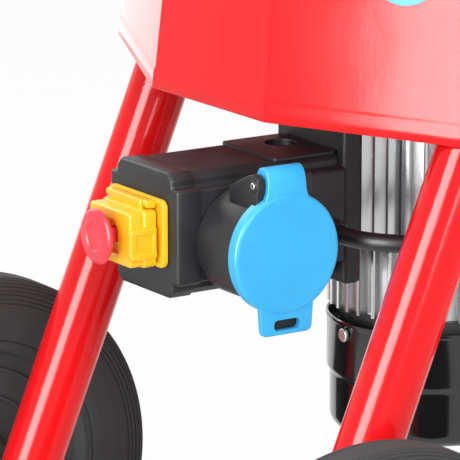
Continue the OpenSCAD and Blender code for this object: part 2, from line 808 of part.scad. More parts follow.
// Stepped sheet-steel cowl: a wide collar round the shield and a narrower cup round the fan.
module fan_cowl() {
    color([0.05, 0.05, 0.05]) difference() {
        rotate_extrude($fn = 96) polygon([[0, cowl_z], [cup_in - 6, cowl_z],
            [cup_in + cowl_sheet - 2, cowl_z + 2], [cup_in + cowl_sheet, cowl_z + 8],
            [cup_in + cowl_sheet, cup_z - 2], [motor_r, cup_z], [motor_r, cowl_top - 3],
            [motor_r + 1, cowl_top - 2], [motor_r + 1, cowl_top], [collar_in, cowl_top],
            [collar_in, cup_z + cowl_sheet], [cup_in, cup_z], [cup_in, cowl_z + 8],
            [cup_in - 7, cowl_z + cowl_sheet], [0, cowl_z + cowl_sheet]]);
        for (r = [20, 34, 48], i = [0:r / 2]) rotate([0, 0, i * 360 / (r / 2 + 1)])
            translate([r, 0, cowl_z - 1]) cylinder(r = 2.6, h = 6, $fn = 16);
        for (a = [30:120:270]) rotate([0, 0, a + 240]) translate([core_r - 8, 0, cowl_top - 8])
            rotate([0, 90, 0]) cylinder(r = 2.3, h = 20);
    }
}

module cowl_screws() {
    color("silver") for (a = [30:120:270]) rotate([0, 0, a + 240])
        translate([0, 0, cowl_top - 8]) rotate([0, 90, 0]) {
            translate([0, 0, core_r - 0.7]) cylinder(r = 2, h = motor_r - core_r + 2);
            translate([0, 0, motor_r + gap]) cylinder(r = 4.2, h = 2.4);
        }
}

module adapter_plate() {
    color([0.12, 0.12, 0.12]) translate([-box_w / 2 + 1, adapter_y, box_z - 44])
        cube([box_w - 2, adapter_t, 96]);
}

module capacitor_box() {
    z0 = cap_box_z;
    color([0.1, 0.1, 0.1]) difference() {
        translate([-cap_box_w / 2, cap_box_y, z0]) cube([cap_box_w, cap_box_t, cap_box_h]);
        translate([-cap_box_w / 2 + box_wall, cap_box_y + box_wall, z0 + box_wall])
            cube([cap_box_w - 2 * box_wall, cap_box_t - 2 * box_wall, cap_box_h - 2 * box_wall]);
        translate([20, lead_points[len(lead_points) - 1][1], lead_z]) rotate([0, 90, 0])
            cylinder(r = 6 + fit, h = 20);
    }
}

module capacitor() {
    color([0.85, 0.85, 0.85]) translate([-6, cap_box_y + cap_box_t / 2, cap_box_z + box_wall])
        cylinder(r = 16, h = cap_box_h - 14);
}

// ---- motor lead ----

// Tube swept along the lead's points, which all lie at one height.
module motor_lead() {
    sides = 12;
    p = lead_points;
    n = len(p);
    heading = [for (i = [0:n - 1]) unit(p[min(i + 1, n - 1)] - p[max(i - 1, 0)])];
    rings = [for (i = [0:n - 1], k = [0:sides - 1]) let (a = k * 360 / sides)
        [p[i][0] + lead_r * cos(a) * heading[i][1], p[i][1] - lead_r * cos(a) * heading[i][0],
            lead_z + lead_r * sin(a)]];
    color([0.05, 0.05, 0.05]) polyhedron(points = rings, faces = concat(
        [[for (k = [0:sides - 1]) k]], [[for (k = [sides - 1:-1:0]) (n - 1) * sides + k]],
        [for (i = [0:n - 2], k = [0:sides - 1]) [i * sides + k, (i + 1) * sides + k,
            (i + 1) * sides + (k + 1) % sides, i * sides + (k + 1) % sides]]), convexity = 6);
}

module lead_glands() {
    first = lead_points[0];
    last = lead_points[len(lead_points) - 1];
    color([0.08, 0.08, 0.08]) {
        translate([box_w / 2 + gap, first[1], lead_z]) rotate([0, 90, 0]) {
            cylinder(r = 9, h = first[0] - box_w / 2 - gap);
            translate([0, 0, -6]) cylinder(r = 6, h = 8);
        }
        translate([cap_box_w / 2 + gap, last[1], lead_z]) rotate([0, 90, 0]) {
            cylinder(r = 9, h = lead_gland_x - cap_box_w / 2 - gap);
            translate([0, 0, -6]) cylinder(r = 6, h = 8);
        }
    }
}

// ---- switch box ----

// Plus-shaped outline: full width in the middle, narrower and chamfered above and below.
module box_outline(d) {
    w = box_w / 2 - d;
    h = box_mid_h / 2 - d;
    s = box_shoulder;
    n = box_w / 2 - 7 - d;
    half = [[w, h - 2], [w - 2, h], [n + 2, h], [n, h + 2], [n, h + s - 3], [n - 3, h + s]];
    far = [for (i = [len(half) - 1:-1:0]) [-half[i][0], half[i][1]]];
    upper = concat(half, far);
    polygon(concat(upper, [for (i = [len(upper) - 1:-1:0]) [upper[i][0], -upper[i][1]]]));
}

module box_prism(d, y0, y1) {
    translate([0, y1, box_z]) rotate([90, 0, 0]) linear_extrude(y1 - y0) box_outline(d);
}

module switch_box_base() {
    color([0.13, 0.13, 0.14]) difference() {
        union() {
            box_prism(0, seam_y, box_back);
            translate([box_w / 2 - 1, lead_points[0][1], lead_z]) rotate([0, 90, 0]) cylinder(r = 8, h = 1);
        }
        box_prism(box_wall, seam_y - 1, box_back - box_wall);
        translate([20, lead_points[0][1], lead_z]) rotate([0, 90, 0]) cylinder(r = 6 + fit, h = 40);
    }
}

module switch_box_cover() {
    color([0.13, 0.13, 0.14]) difference() {
        union() {
            box_prism(0, box_y, seam_y - gap);
            translate([6, seam_y - 24, box_z + box_mid_h / 2 + box_shoulder - 1]) cube([16, 22, 6]);
        }
        box_prism(box_wall, box_y + box_wall, seam_y + 1);
        translate([4, inlet_y, box_z + box_mid_h / 2 + box_shoulder - 1]) cylinder(r = 9, h = 8);
        translate([0, inlet_y, inlet_z]) rotate([0, 90, 0]) cylinder(r = 21 + gap, h = 80);
        translate([plate_x - 22, box_y - 1, plate_z - 14]) cube([44, 10, 26]);
    }
}

module switch_block() {
    color([0.2, 0.2, 0.2]) difference() {
        translate([plate_x - 21.5, box_y + gap, plate_z - 13.5]) cube([43, 34, 25]);
        for (dx = [0, start_dx]) translate([plate_x + dx, box_y - 1, flap_z])
            y_rod(button_r + gap, 16);
    }
}

module switch_plate() {
    color("gold") difference() {
        union() {
            translate([plate_x - plate_w / 2, box_y - plate_thick, plate_z - plate_h / 2])
                cube([plate_w, plate_thick - gap, plate_h]);
            for (side = [-1, 1]) translate([plate_x + side * 20, 0, 0]) {
                translate([0, flap_pin_y, flap_pin_z]) x_rod(3, 5);
                translate([-2.5, flap_pin_y, flap_pin_z - 3])
                    cube([5, box_y - plate_thick + 1 - flap_pin_y, 6]);
            }
        }
        for (dx = [0, start_dx]) translate([plate_x + dx, box_y - 10, flap_z])
            y_rod(button_r + gap, 20);
        translate([plate_x, flap_pin_y, flap_pin_z]) x_rod(flap_pin_r + fit, 60);
    }
}

// Hinged yellow flap: a box open at the back, over both inner buttons.
module switch_flap() {
    y0 = flap_y;
    y1 = box_y - plate_thick - gap;
    color("gold") difference() {
        union() {
            translate([plate_x - flap_w / 2, y0, flap_z - flap_h / 2])
                cube([flap_w, y1 - y0, flap_h]);
            translate([plate_x, flap_pin_y, flap_pin_z]) x_rod(3, 33);
            translate([plate_x - 16.5, flap_pin_y - 2, flap_pin_z - 4]) cube([33, 4, 4]);
            translate([plate_x + flap_w / 2 - 1, y0 + 6, flap_z - 7]) cube([4, y1 - y0 - 6, 14]);
        }
        translate([plate_x - flap_w / 2 + flap_wall, y0 + flap_wall, flap_z - flap_h / 2 + flap_wall])
            cube([flap_w - 2 * flap_wall, 60, flap_h - 2 * flap_wall]);
        translate([plate_x, y0 - 1, flap_z]) y_rod(stem_r + 0.4, 5);
        translate([plate_x, flap_pin_y, flap_pin_z]) x_rod(flap_pin_r, 60);
    }
    color("silver") translate([plate_x, flap_pin_y, flap_pin_z]) x_rod(flap_pin_r, 46);
}

module stop_button() {
    color([0.85, 0.1, 0.12]) translate([plate_x, head_y, flap_z]) {
        rotate([-90, 0, 0]) rotate_extrude($fn = 72) polygon([[0, 1.2], [9, 0.9], [11, 0],
            [stop_r - 3, 0.4], [stop_r - 0.8, 1.8], [stop_r, 3.5], [stop_r - 1.2, stop_h - 0.8],
            [stop_r - 4, stop_h], [0, stop_h]]);
        y_rod(stem_r, box_y - plate_thick - button_out - gap - head_y);
    }
}

module plunger(dx, shade) {
    color(shade) translate([plate_x + dx, box_y - plate_thick - button_out, flap_z])
        y_rod(button_r, button_out + plate_thick + 9);
}

module stop_plunger() { plunger(0, "firebrick"); }
module start_plunger() { plunger(start_dx, "green"); }

// ---- power inlet ----

module power_inlet() {
    depth = inlet_x - box_w / 2;
    color([0.1, 0.1, 0.1]) difference() {
        union() {
            translate([box_w / 2 + gap, inlet_y, inlet_z]) rotate([0, 90, 0]) {
                cylinder(r = inlet_r, h = depth - gap);
                translate([0, 0, -12]) cylinder(r = 21, h = 14);
            }
            for (y = [-hinge_w / 2, hinge_w / 2 - lug_t]) translate([0, inlet_y + y, 0]) hinge_lug();
        }
        translate([box_w / 2 + 14, inlet_y, inlet_z]) rotate([0, 90, 0])
            cylinder(r = inlet_r - inlet_wall, h = depth);
        translate([hinge_x, inlet_y - 40, hinge_z]) y_rod(hinge_pin_r + fit, 80);
    }
    color([0.8, 0.7, 0.3]) for (i = [0:contact_count - 1]) rotate_contact(i)
        rotate([0, 90, 0]) cylinder(r = 2.5, h = 26);
}

// Slanted lug that rises from the top of the inlet's body to the lid's hinge.
module hinge_lug() {
    foot_z = inlet_z + inlet_r - 7;
    translate([hinge_x, 0, hinge_z]) y_rod(hinge_r, lug_t);
    translate([0, lug_t, 0]) rotate([90, 0, 0]) linear_extrude(lug_t)
        polygon([[hinge_x - lug_back, foot_z], [hinge_x + 1.5, foot_z], [hinge_x + 1.5, hinge_z],
            [hinge_x - 2.9, hinge_z + 3.3], [hinge_x - lug_back, foot_z + 6]]);
}

module rotate_contact(i) {
    a = 90 + i * 360 / contact_count;
    translate([box_w / 2 + 13, inlet_y + 17 * cos(a), inlet_z + 17 * sin(a)]) children();
}

// Spring lid: dished disc with a bevelled rim, a hinge tab on top and a slotted pull tab below.
module inlet_lid() {
    tab_w = 38;
    tab_end_w = 33;
    tab_out = 12;
    slot_w = 18;
    slot_h = 6;
    strap_w = hinge_w - 2 * lug_t - 2;
    x0 = inlet_x + gap;
    y0 = inlet_y - strap_w / 2;
    color([0.25, 0.68, 0.9]) difference() {
        union() {
            translate([x0 - lid_skirt, inlet_y, inlet_z]) rotate([0, 90, 0])
                rotate_extrude($fn = 96) polygon([[0, lid_skirt], [inlet_r + 1, lid_skirt],
                    [inlet_r + 1, 0], [lid_r, 0], [lid_r, lid_skirt + 2],
                    [lid_r - 3, lid_skirt + 5], [0, lid_skirt + 4]]);
            translate([x0, y0, inlet_z + 20]) cube([3, strap_w, hinge_z - inlet_z - 20]);
            translate([hinge_x, y0, hinge_z]) y_rod(hinge_r, strap_w);
            translate([hinge_x, y0, hinge_z]) cube([x0 + 3 - hinge_x, strap_w, hinge_r]);
            translate([x0, inlet_y, inlet_z - lid_r]) rotate([90, 0, 90]) linear_extrude(3)
                polygon([[-tab_w / 2, 8], [-tab_end_w / 2, -tab_out], [tab_end_w / 2, -tab_out],
                    [tab_w / 2, 8]]);
        }
        translate([x0 - 1, inlet_y - slot_w / 2, inlet_z - lid_r - slot_h - 3])
            cube([6, slot_w, slot_h]);
        translate([x0 - 20, inlet_y - hinge_w / 2 - 3, inlet_z]) cube([20, hinge_w + 6, lid_r]);
        translate([hinge_x, inlet_y - 40, hinge_z]) y_rod(hinge_pin_r, 80);
    }
    color("silver") translate([hinge_x, inlet_y - hinge_w / 2 - 1, hinge_z])
        y_rod(hinge_pin_r, hinge_w + 2);
}

wheel_leg_left();
wheel_leg_right();
foot_leg_left();
foot_leg_right();
foot_cross_tube();
leg_plugs();
rubber_feet();
transport_handle();
handle_grip();
axle();
axle_spacers();
axle_washers();
axle_cap_nuts();
tyre_left();
tyre_right();
wheel_rim_left();
wheel_rim_right();
deck();
leg_bolts();
blade_housing();
housing_bolts();
counter_blade();
discharge_chute();
chute_flap();
chute_flap_pin();
feed_hopper();
hopper_hinge();
hopper_hinge_pin();
knob_left();
knob_right();
blade_disc();
blades();
blade_bolts();
disc_retainer();
motor_flange();
flange_bolts();
motor_barrel();
stator();
rotor_core();
motor_shaft();
motor_bearings();
lower_shield();
cooling_fan();
fan_cowl();
cowl_screws();
adapter_plate();
capacitor_box();
capacitor();
motor_lead();
lead_glands();
switch_box_base();
switch_box_cover();
switch_block();
switch_plate();
switch_flap();
stop_button();
stop_plunger();
start_plunger();
power_inlet();
inlet_lid();
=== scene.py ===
"""Wheeled electric garden shredder: the visual model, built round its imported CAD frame.

+Z is up, X runs along the wheel axle, and the switch and the wheels are on the -Y side. Sizes in the
classes are millimetres; meshes are metres. Places come from the CAD nodes' boxes.
"""

import json
import logging
import math
from collections.abc import Callable
from dataclasses import dataclass, field
from enum import Enum

import bmesh
import bpy
import numpy as np
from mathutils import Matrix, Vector


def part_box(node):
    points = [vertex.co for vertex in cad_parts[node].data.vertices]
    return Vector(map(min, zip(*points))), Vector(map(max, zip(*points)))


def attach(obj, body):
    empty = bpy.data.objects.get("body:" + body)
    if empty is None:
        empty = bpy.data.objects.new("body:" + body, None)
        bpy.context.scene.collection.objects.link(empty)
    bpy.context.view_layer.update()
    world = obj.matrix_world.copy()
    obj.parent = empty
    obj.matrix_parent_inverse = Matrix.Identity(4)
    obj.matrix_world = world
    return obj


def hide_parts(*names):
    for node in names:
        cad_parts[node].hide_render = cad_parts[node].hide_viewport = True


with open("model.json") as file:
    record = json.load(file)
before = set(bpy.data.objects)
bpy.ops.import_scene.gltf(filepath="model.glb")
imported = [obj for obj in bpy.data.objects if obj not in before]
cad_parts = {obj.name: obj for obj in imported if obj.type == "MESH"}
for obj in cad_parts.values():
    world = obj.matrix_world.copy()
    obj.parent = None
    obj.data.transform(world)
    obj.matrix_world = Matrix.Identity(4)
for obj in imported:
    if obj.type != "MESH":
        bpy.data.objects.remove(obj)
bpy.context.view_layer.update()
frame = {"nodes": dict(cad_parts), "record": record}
SLOTS: dict[str, str] = {row["node"]: row["material_slot"] for row in frame["record"]["subparts"]}
BODIES: dict[str, str] = {node: body for body, nodes in frame["record"]["behaviour"]["bodies"].items()
                          for node in nodes}
LOG = logging.getLogger("shredder")

MM = 0.001
MERGE = 2e-6            # metres: closer points of a made mesh are one
NODE_MERGE = 1e-5       # metres: the same for a CAD node's mesh
FLAT_DEG = 0.8          # faces of a CAD node that turn less than this are one
CREASE_DEG = 32.0       # edges sharper than this stay sharp, or are rounded
BEVEL_STEPS = 3
SHARP_R = 0.03          # millimetres: the least radius of an outline's corner
MIX_DARK, MIX_LIGHT, MIX_COLOUR = 6, 7, 2       # a Mix node's colour inputs and colour output

Pair = tuple[float, float]
Triple = tuple[float, float, float]
Tree = bpy.types.NodeTree
Socket = bpy.types.NodeSocket
Thing = bpy.types.Object


class Along(Enum):
    """The axis that an outline is carried along; its value gives the columns of (u, v, level)."""

    X = (2, 0, 1)
    Y = (0, 2, 1)
    Z = (0, 1, 2)


class Texture(Enum):
    """The kinds of fine relief that a finish can carry."""

    ORANGE_PEEL = "orange_peel"
    MOULDED = "moulded_grain"
    BRUSHED = "drawn_lines"
    CAST = "cast_skin"


# ---- shader node groups ----

def new_group(name: str, inputs: list[tuple[str, str, float | None]],
              outputs: list[tuple[str, str]]) -> tuple[Tree, bpy.types.Node, bpy.types.Node]:
    """Makes an empty shader node group with named sockets.

    Args:
        name: the group's name.
        inputs: (socket name, socket type, default) for each input.
        outputs: (socket name, socket type) for each output.

    Returns:
        The group, its input node and its output node.
    """
    group = bpy.data.node_groups.new(name, "ShaderNodeTree")
    for label, kind, default in inputs:
        socket = group.interface.new_socket(name=label, in_out="INPUT", socket_type=kind)
        if default is not None:
            socket.default_value = default
    for label, kind in outputs:
        group.interface.new_socket(name=label, in_out="OUTPUT", socket_type=kind)
    return group, group.nodes.new("NodeGroupInput"), group.nodes.new("NodeGroupOutput")


def plug(tree: Tree, socket: Socket, value: float | tuple | Socket) -> None:
    """Sets an input to a plain value, or links another socket to it.

    Args:
        tree: the tree that the input is in.
        socket: the input.
        value: the value, or the socket that gives it.
    """
    if isinstance(value, Socket):
        tree.links.new(value, socket)
    else:
        socket.default_value = value


def feed(tree: Tree, node: bpy.types.Node, **values: float | tuple | Socket) -> None:
    """Plugs a value into each named input of a node, with _ for a space in its name."""
    for label, value in values.items():
        plug(tree, node.inputs[label.replace("_", " ")], value)


def noise(tree: Tree, vector: Socket, scale: float | Socket, detail: float, rough: float = 0.5) -> Socket:
    """Adds a noise texture.

    Args:
        tree: the tree that it goes in.
        vector: the coordinate socket.
        scale: a number, or a socket that gives the scale.
        detail: the number of octaves.
        rough: how strong each finer octave is.

    Returns:
        The texture's value socket.
    """
    node = tree.nodes.new("ShaderNodeTexNoise")
    feed(tree, node, Vector=vector, Scale=scale, Detail=detail, Roughness=rough)
    return node.outputs["Fac"]


def maths(tree: Tree, operation: str, a: float | Socket, b: float | Socket) -> Socket:
    """Adds a Math node on two sockets or numbers.

    Args:
        tree: the tree that it goes in.
        operation: the sum to do.
        a: the first socket or number.
        b: the second.

    Returns:
        The node's output.
    """
    node = tree.nodes.new("ShaderNodeMath")
    node.operation = operation
    plug(tree, node.inputs[0], a)
    plug(tree, node.inputs[1], b)
    return node.outputs[0]


def tone_group() -> Tree:
    """A cloudy change of colour and roughness: both follow one noise, steepened about its middle.

    Returns:
        The group, with outputs Colour and Roughness.
    """
    group, source, sink = new_group(
        "uneven_tone",
        [("Vector", "NodeSocketVector", None), ("Scale", "NodeSocketFloat", 20.0),
         ("Dark", "NodeSocketColor", None), ("Light", "NodeSocketColor", None),
         ("Smooth", "NodeSocketFloat", 0.3), ("Rough", "NodeSocketFloat", 0.4)],
        [("Colour", "NodeSocketColor"), ("Roughness", "NodeSocketFloat")])
    given = source.outputs
    value = noise(group, given["Vector"], given["Scale"], 5.0, 0.55)
    steep = group.nodes.new("ShaderNodeMapRange")
    feed(group, steep, Value=value, From_Min=0.3, From_Max=0.7)
    mix = group.nodes.new("ShaderNodeMix")
    mix.data_type = "RGBA"
    group.links.new(steep.outputs[0], mix.inputs["Factor"])
    group.links.new(given["Dark"], mix.inputs[MIX_DARK])
    group.links.new(given["Light"], mix.inputs[MIX_LIGHT])
    spread = group.nodes.new("ShaderNodeMapRange")
    feed(group, spread, Value=steep.outputs[0], To_Min=given["Smooth"], To_Max=given["Rough"])
    feed(group, sink, Colour=mix.outputs[MIX_COLOUR], Roughness=spread.outputs[0])
    return group


def relief_group(texture: Texture) -> Tree:
    """A height pattern for one kind of relief.

    Orange peel is a soft noise with a little fine noise and the sheet's broad waves; moulded grain is
    small cells with noise; drawn lines are one noise; a cast skin is a rough noise of many octaves.

    Args:
        texture: the kind of relief.

    Returns:
        The group, with inputs Vector and Scale and output Height.
    """
    group, source, sink = new_group(
        texture.value, [("Vector", "NodeSocketVector", None), ("Scale", "NodeSocketFloat", 500.0)],
        [("Height", "NodeSocketFloat")])
    vector, scale = source.outputs["Vector"], source.outputs["Scale"]

    def layer(finer: float, octaves: float, height: float = 1.0) -> Socket:
        """A noise that is finer than the pattern by a factor, times a height."""
        value = noise(group, vector, maths(group, "MULTIPLY", scale, finer), octaves)
        return maths(group, "MULTIPLY", value, height)

    if texture is Texture.ORANGE_PEEL:
        waves = maths(group, "ADD", layer(3.1, 2.0, 0.25), layer(0.06, 1.0, 7.0))
        height = maths(group, "ADD", noise(group, vector, scale, 1.0), waves)
    elif texture is Texture.MOULDED:
        cells = group.nodes.new("ShaderNodeTexVoronoi")
        feed(group, cells, Vector=vector, Scale=scale)
        height = maths(group, "ADD", cells.outputs["Distance"], layer(0.4, 3.0))
    elif texture is Texture.BRUSHED:
        height = noise(group, vector, scale, 6.0, 0.7)
    else:
        height = noise(group, vector, scale, 8.0, 0.65)
    feed(group, sink, Height=height)
    return group


@dataclass(frozen=True)
class Finish:
    """One surface finish: a Principled shader with an uneven tone and a fine relief.

    tone is how much the colour darkens and lightens, spread how much the roughness varies, relief_mm the
    height of the relief, relief_scale its waves per metre, and stretch scales the coordinates, so that a
    small value on one axis draws the pattern out along it.
    """

    name: str
    colour: Triple
    roughness: float
    texture: Texture
    relief_scale: float
    relief_mm: float
    metallic: float = 0.0
    tone: float = 0.08
    tone_scale: float = 25.0
    spread: float = 0.05
    stretch: Triple = (1.0, 1.0, 1.0)
    coat: float = 0.0
    coat_roughness: float = 0.05
    specular: float = 0.5
    smoothest: float = 0.02

    def material(self) -> bpy.types.Material:
        """Builds the material on its first use.

        Returns:
            The material.
        """
        if self.name in bpy.data.materials:
            return bpy.data.materials[self.name]
        material = bpy.data.materials.new(self.name)
        material.use_nodes = True
        tree = material.node_tree
        where = tree.nodes.new("ShaderNodeTexCoord")
        mapping = tree.nodes.new("ShaderNodeMapping")
        feed(tree, mapping, Vector=where.outputs["Object"], Scale=self.stretch)
        tone = self.place_group(tree, "uneven_tone", tone_group, mapping.outputs[0], self.tone_scale)
        feed(tree, tone, Dark=(*(c * (1 - self.tone) for c in self.colour), 1),
             Light=(*(min(1, c * (1 + self.tone)) for c in self.colour), 1),
             Smooth=max(self.smoothest, self.roughness - self.spread), Rough=self.roughness + self.spread)
        relief = self.place_group(tree, self.texture.value, lambda: relief_group(self.texture),
                                  mapping.outputs[0], self.relief_scale)
        bump = tree.nodes.new("ShaderNodeBump")
        feed(tree, bump, Distance=self.relief_mm * MM, Strength=1.0, Height=relief.outputs["Height"])
        feed(tree, tree.nodes["Principled BSDF"], Metallic=self.metallic, Coat_Weight=self.coat,
             Coat_Roughness=self.coat_roughness, Specular_IOR_Level=self.specular,
             Base_Color=tone.outputs["Colour"], Roughness=tone.outputs["Roughness"], Normal=bump.outputs["Normal"])
        return material

    @staticmethod
    def place_group(tree: Tree, name: str, make: Callable[[], Tree], vector: Socket,
                    scale: float) -> bpy.types.Node:
        """Puts a node group, made on its first use, in a material and feeds it coordinates.

        Args:
            tree: the material's tree.
            name: the group's name.
            make: makes the group.
            vector: the coordinate socket.
            scale: the pattern's waves per metre.

        Returns:
            The group node.
        """
        node = tree.nodes.new("ShaderNodeGroup")
        node.node_tree = bpy.data.node_groups.get(name) or make()
        feed(tree, node, Vector=vector, Scale=scale)
        return node


FINISHES: dict[str, Finish] = {
    "red_paint": Finish("red_powder_coat", (0.82, 0.008, 0.011), 0.13, Texture.ORANGE_PEEL, 420, 0.03,
                        tone=0.06, tone_scale=9, spread=0.03, specular=0.24),
    "black_plastic": Finish("black_moulded_plastic", (0.022, 0.023, 0.026), 0.42, Texture.MOULDED, 2400,
                            0.02, tone=0.22, tone_scale=38, spread=0.07, specular=0.3),
    "black_rubber": Finish("black_rubber", (0.022, 0.022, 0.023), 0.62, Texture.CAST, 1500, 0.04,
                           tone=0.25, spread=0.1),
    "tyre_rubber": Finish("tyre_rubber", (0.031, 0.032, 0.034), 0.5, Texture.CAST, 900, 0.03, tone=0.25,
                          tone_scale=30, spread=0.1, specular=0.25),
    "rim_plastic": Finish("rim_plastic", (0.024, 0.024, 0.026), 0.46, Texture.MOULDED, 1500, 0.03,
                          tone=0.15, spread=0.08),
    "zinc_steel": Finish("zinc_plate", (0.66, 0.67, 0.69), 0.3, Texture.CAST, 700, 0.003, metallic=1.0,
                         tone=0.07, tone_scale=60, spread=0.05),
    "bright_steel": Finish("bright_steel", (0.6, 0.61, 0.63), 0.24, Texture.BRUSHED, 500, 0.006,
                           metallic=1.0, stretch=(1.0, 1.0, 0.05), spread=0.06),
    "blade_steel": Finish("ground_blade_steel", (0.74, 0.75, 0.77), 0.18, Texture.BRUSHED, 900, 0.006,
                          metallic=1.0, stretch=(0.04, 1.0, 1.0), spread=0.05),
    "dark_steel": Finish("blackened_steel", (0.06, 0.06, 0.066), 0.42, Texture.CAST, 600, 0.02,
                         metallic=0.8, tone=0.2, spread=0.1),
    "motor_aluminium": Finish("extruded_aluminium", (0.58, 0.59, 0.6), 0.27, Texture.BRUSHED, 700, 0.012,
                              metallic=1.0, tone=0.1, tone_scale=160, spread=0.08,
                              stretch=(1.0, 1.0, 0.012)),
    "motor_iron": Finish("black_casting_paint", (0.02, 0.02, 0.022), 0.38, Texture.CAST, 260, 0.12,
                         tone=0.2, spread=0.08),
    "cowl_black": Finish("gloss_black_paint", (0.006, 0.006, 0.007), 0.16, Texture.ORANGE_PEEL, 380, 0.012,
                         tone=0.2, spread=0.03, coat=0.4),
    "copper": Finish("varnished_copper", (0.6, 0.26, 0.11), 0.35, Texture.CAST, 500, 0.05, metallic=0.9,
                     tone=0.25, spread=0.1),
    "capacitor_white": Finish("capacitor_can", (0.78, 0.78, 0.75), 0.3, Texture.MOULDED, 900, 0.01),
    "lead_black": Finish("lead_jacket", (0.018, 0.018, 0.02), 0.4, Texture.CAST, 500, 0.03, tone=0.25,
                         spread=0.07),
    "switch_yellow": Finish("yellow_plastic", (0.95, 0.55, 0.012), 0.34, Texture.MOULDED, 2000, 0.01,
                            tone=0.04, tone_scale=30),
    "stop_red": Finish("stop_red_plastic", (0.84, 0.035, 0.06), 0.36, Texture.MOULDED, 2000, 0.01,
                       tone=0.05),
    "start_green": Finish("start_green_plastic", (0.03, 0.4, 0.1), 0.33, Texture.MOULDED, 2000, 0.01),
    "lid_blue": Finish("sky_blue_plastic", (0.036, 0.47, 0.9), 0.38, Texture.MOULDED, 1700, 0.014,
                       tone=0.04, tone_scale=45, spread=0.06),
}


# ---- outlines and surfaces ----

def span(node: str) -> tuple[np.ndarray, np.ndarray]:
    """Lowest and highest corner of a CAD node at rest, in millimetres."""
    low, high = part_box(node)
    return np.array(low) / MM, np.array(high) / MM


def circle(points: int) -> np.ndarray:
    """Points round a circle of radius 1: (cos a, sin a)."""
    angle = np.linspace(0, 2 * np.pi, points, endpoint=False)
    return np.stack([np.cos(angle), np.sin(angle)], axis=1)


def outward(corners: np.ndarray) -> tuple[np.ndarray, np.ndarray]:
    """Outward unit normals of the edges of a counter-clockwise outline.

    Args:
        corners: the outline.

    Returns:
        The normals of the edge before each corner, and of the edge after it.
    """
    edge = corners - np.roll(corners, 1, axis=0)
    edge = edge / np.linalg.norm(edge, axis=1, keepdims=True)
    normal = np.stack([edge[:, 1], -edge[:, 0]], axis=1)
    return normal, np.roll(normal, -1, axis=0)


def turns(corners: np.ndarray) -> np.ndarray:
    """1 where an outline's corner bulges and -1 where it is re-entrant."""
    before, after = outward(corners)
    return np.sign(before[:, 0] * after[:, 1] - before[:, 1] * after[:, 0])


def inset(corners: np.ndarray, depth: float) -> np.ndarray:
    """Moves each edge of an outline inwards by depth: corner - (n1 + n2) depth / (1 + n1.n2)."""
    before, after = outward(corners)
    return corners - (before + after) * depth / (1 + (before * after).sum(axis=1, keepdims=True))


def rounded(corners: np.ndarray, radius: np.ndarray | float, steps: int = 6) -> np.ndarray:
    """Rounds an outline's corners with arcs: centre + radius (cos a, sin a), a from normal to normal.

    Args:
        corners: the outline, counter-clockwise.
        radius: one radius, or one for each corner.
        steps: points on each arc.

    Returns:
        The rounded outline, with the same number of points whatever the radius.
    """
    before, after = outward(corners)
    signed = turns(corners) * np.maximum(np.broadcast_to(radius, len(corners)), SHARP_R)
    centre = corners - signed[:, None] * (before + after) / (1 + (before * after).sum(axis=1))[:, None]
    start = np.arctan2(before[:, 1], before[:, 0])
    sweep = np.arctan2(after[:, 1], after[:, 0]) - start
    sweep = (sweep + np.pi) % (2 * np.pi) - np.pi
    angle = start[:, None] + sweep[:, None] * np.linspace(0, 1, steps)
    arc = np.stack([np.cos(angle), np.sin(angle)], axis=2)
    return (centre[:, None] + signed[:, None, None] * arc).reshape(-1, 2)


def rectangle(width: float, depth: float, centre: Pair = (0, 0)) -> np.ndarray:
    """A rectangle's corners, counter-clockwise."""
    return np.array([[-1, -1], [1, -1], [1, 1], [-1, 1]]) * [width / 2, depth / 2] + centre


def to_space(outline: np.ndarray, level: float, along: Along = Along.Z) -> np.ndarray:
    """Places a flat outline at a level: Z gives (u, v, level), Y (u, level, v), X (level, u, v)."""
    flat = np.column_stack([outline, np.full(len(outline), float(level))])
    return flat[:, list(along.value)]


def straight(low: float, high: float) -> list[Pair]:
    """Rows of (inset, level) for a block with square ends."""
    return [(0, low), (0, high)]


def rims(low: float, high: float, rim: float, steps: int = 4) -> list[Pair]:
    """Rows of (inset, level) for a block with quarter-round rims.

    Args:
        low: the level of one end.
        high: the level of the other.
        rim: the rims' radius.
        steps: rows on each rim.

    Returns:
        The rows, from low to high.
    """
    angle = np.linspace(0, np.pi / 2, steps)
    first = [(rim * (1 - math.sin(a)), low + rim * (1 - math.cos(a))) for a in angle]
    return first + [(d, low + high - z) for d, z in reversed(first)]


def rod(radius: float, low: float, high: float) -> list[Pair]:
    """Rows of (radius, level) for a plain cylinder."""
    return [(0, low), (radius, low), (radius, high), (0, high)]


def spool(bore: float, radius: float, low: float, high: float, chamfer: float) -> list[Pair]:
    """Rows of (radius, level) for a sleeve, or a pin if its bore is 0, with chamfered ends."""
    return [(bore, low), (radius - chamfer, low), (radius, low + chamfer), (radius, high - chamfer),
            (radius - chamfer, high), (bore, high)]


def smooth(points: np.ndarray, per_span: int) -> np.ndarray:
    """Catmull-Rom curve: ((2p1) + (p2-p0)t + (2p0-5p1+4p2-p3)t2 + (3p1-p0-3p2+p3)t3) / 2.

    Args:
        points: what the curve passes through.
        per_span: points made for each span.

    Returns:
        The curve's points, with the last given point at its end.
    """
    p = np.concatenate([points[:1] * 2 - points[1:2], points, points[-1:] * 2 - points[-2:-1]])
    t = np.linspace(0, 1, per_span, endpoint=False)[None, :, None]
    p0, p1, p2, p3 = (p[i:len(p) - 3 + i][:, None] for i in range(4))
    curve = (2 * p1 + (p2 - p0) * t + (2 * p0 - 5 * p1 + 4 * p2 - p3) * t ** 2
             + (3 * p1 - p0 - 3 * p2 + p3) * t ** 3) / 2
    return np.concatenate([curve.reshape(-1, points.shape[1]), points[-1:]])


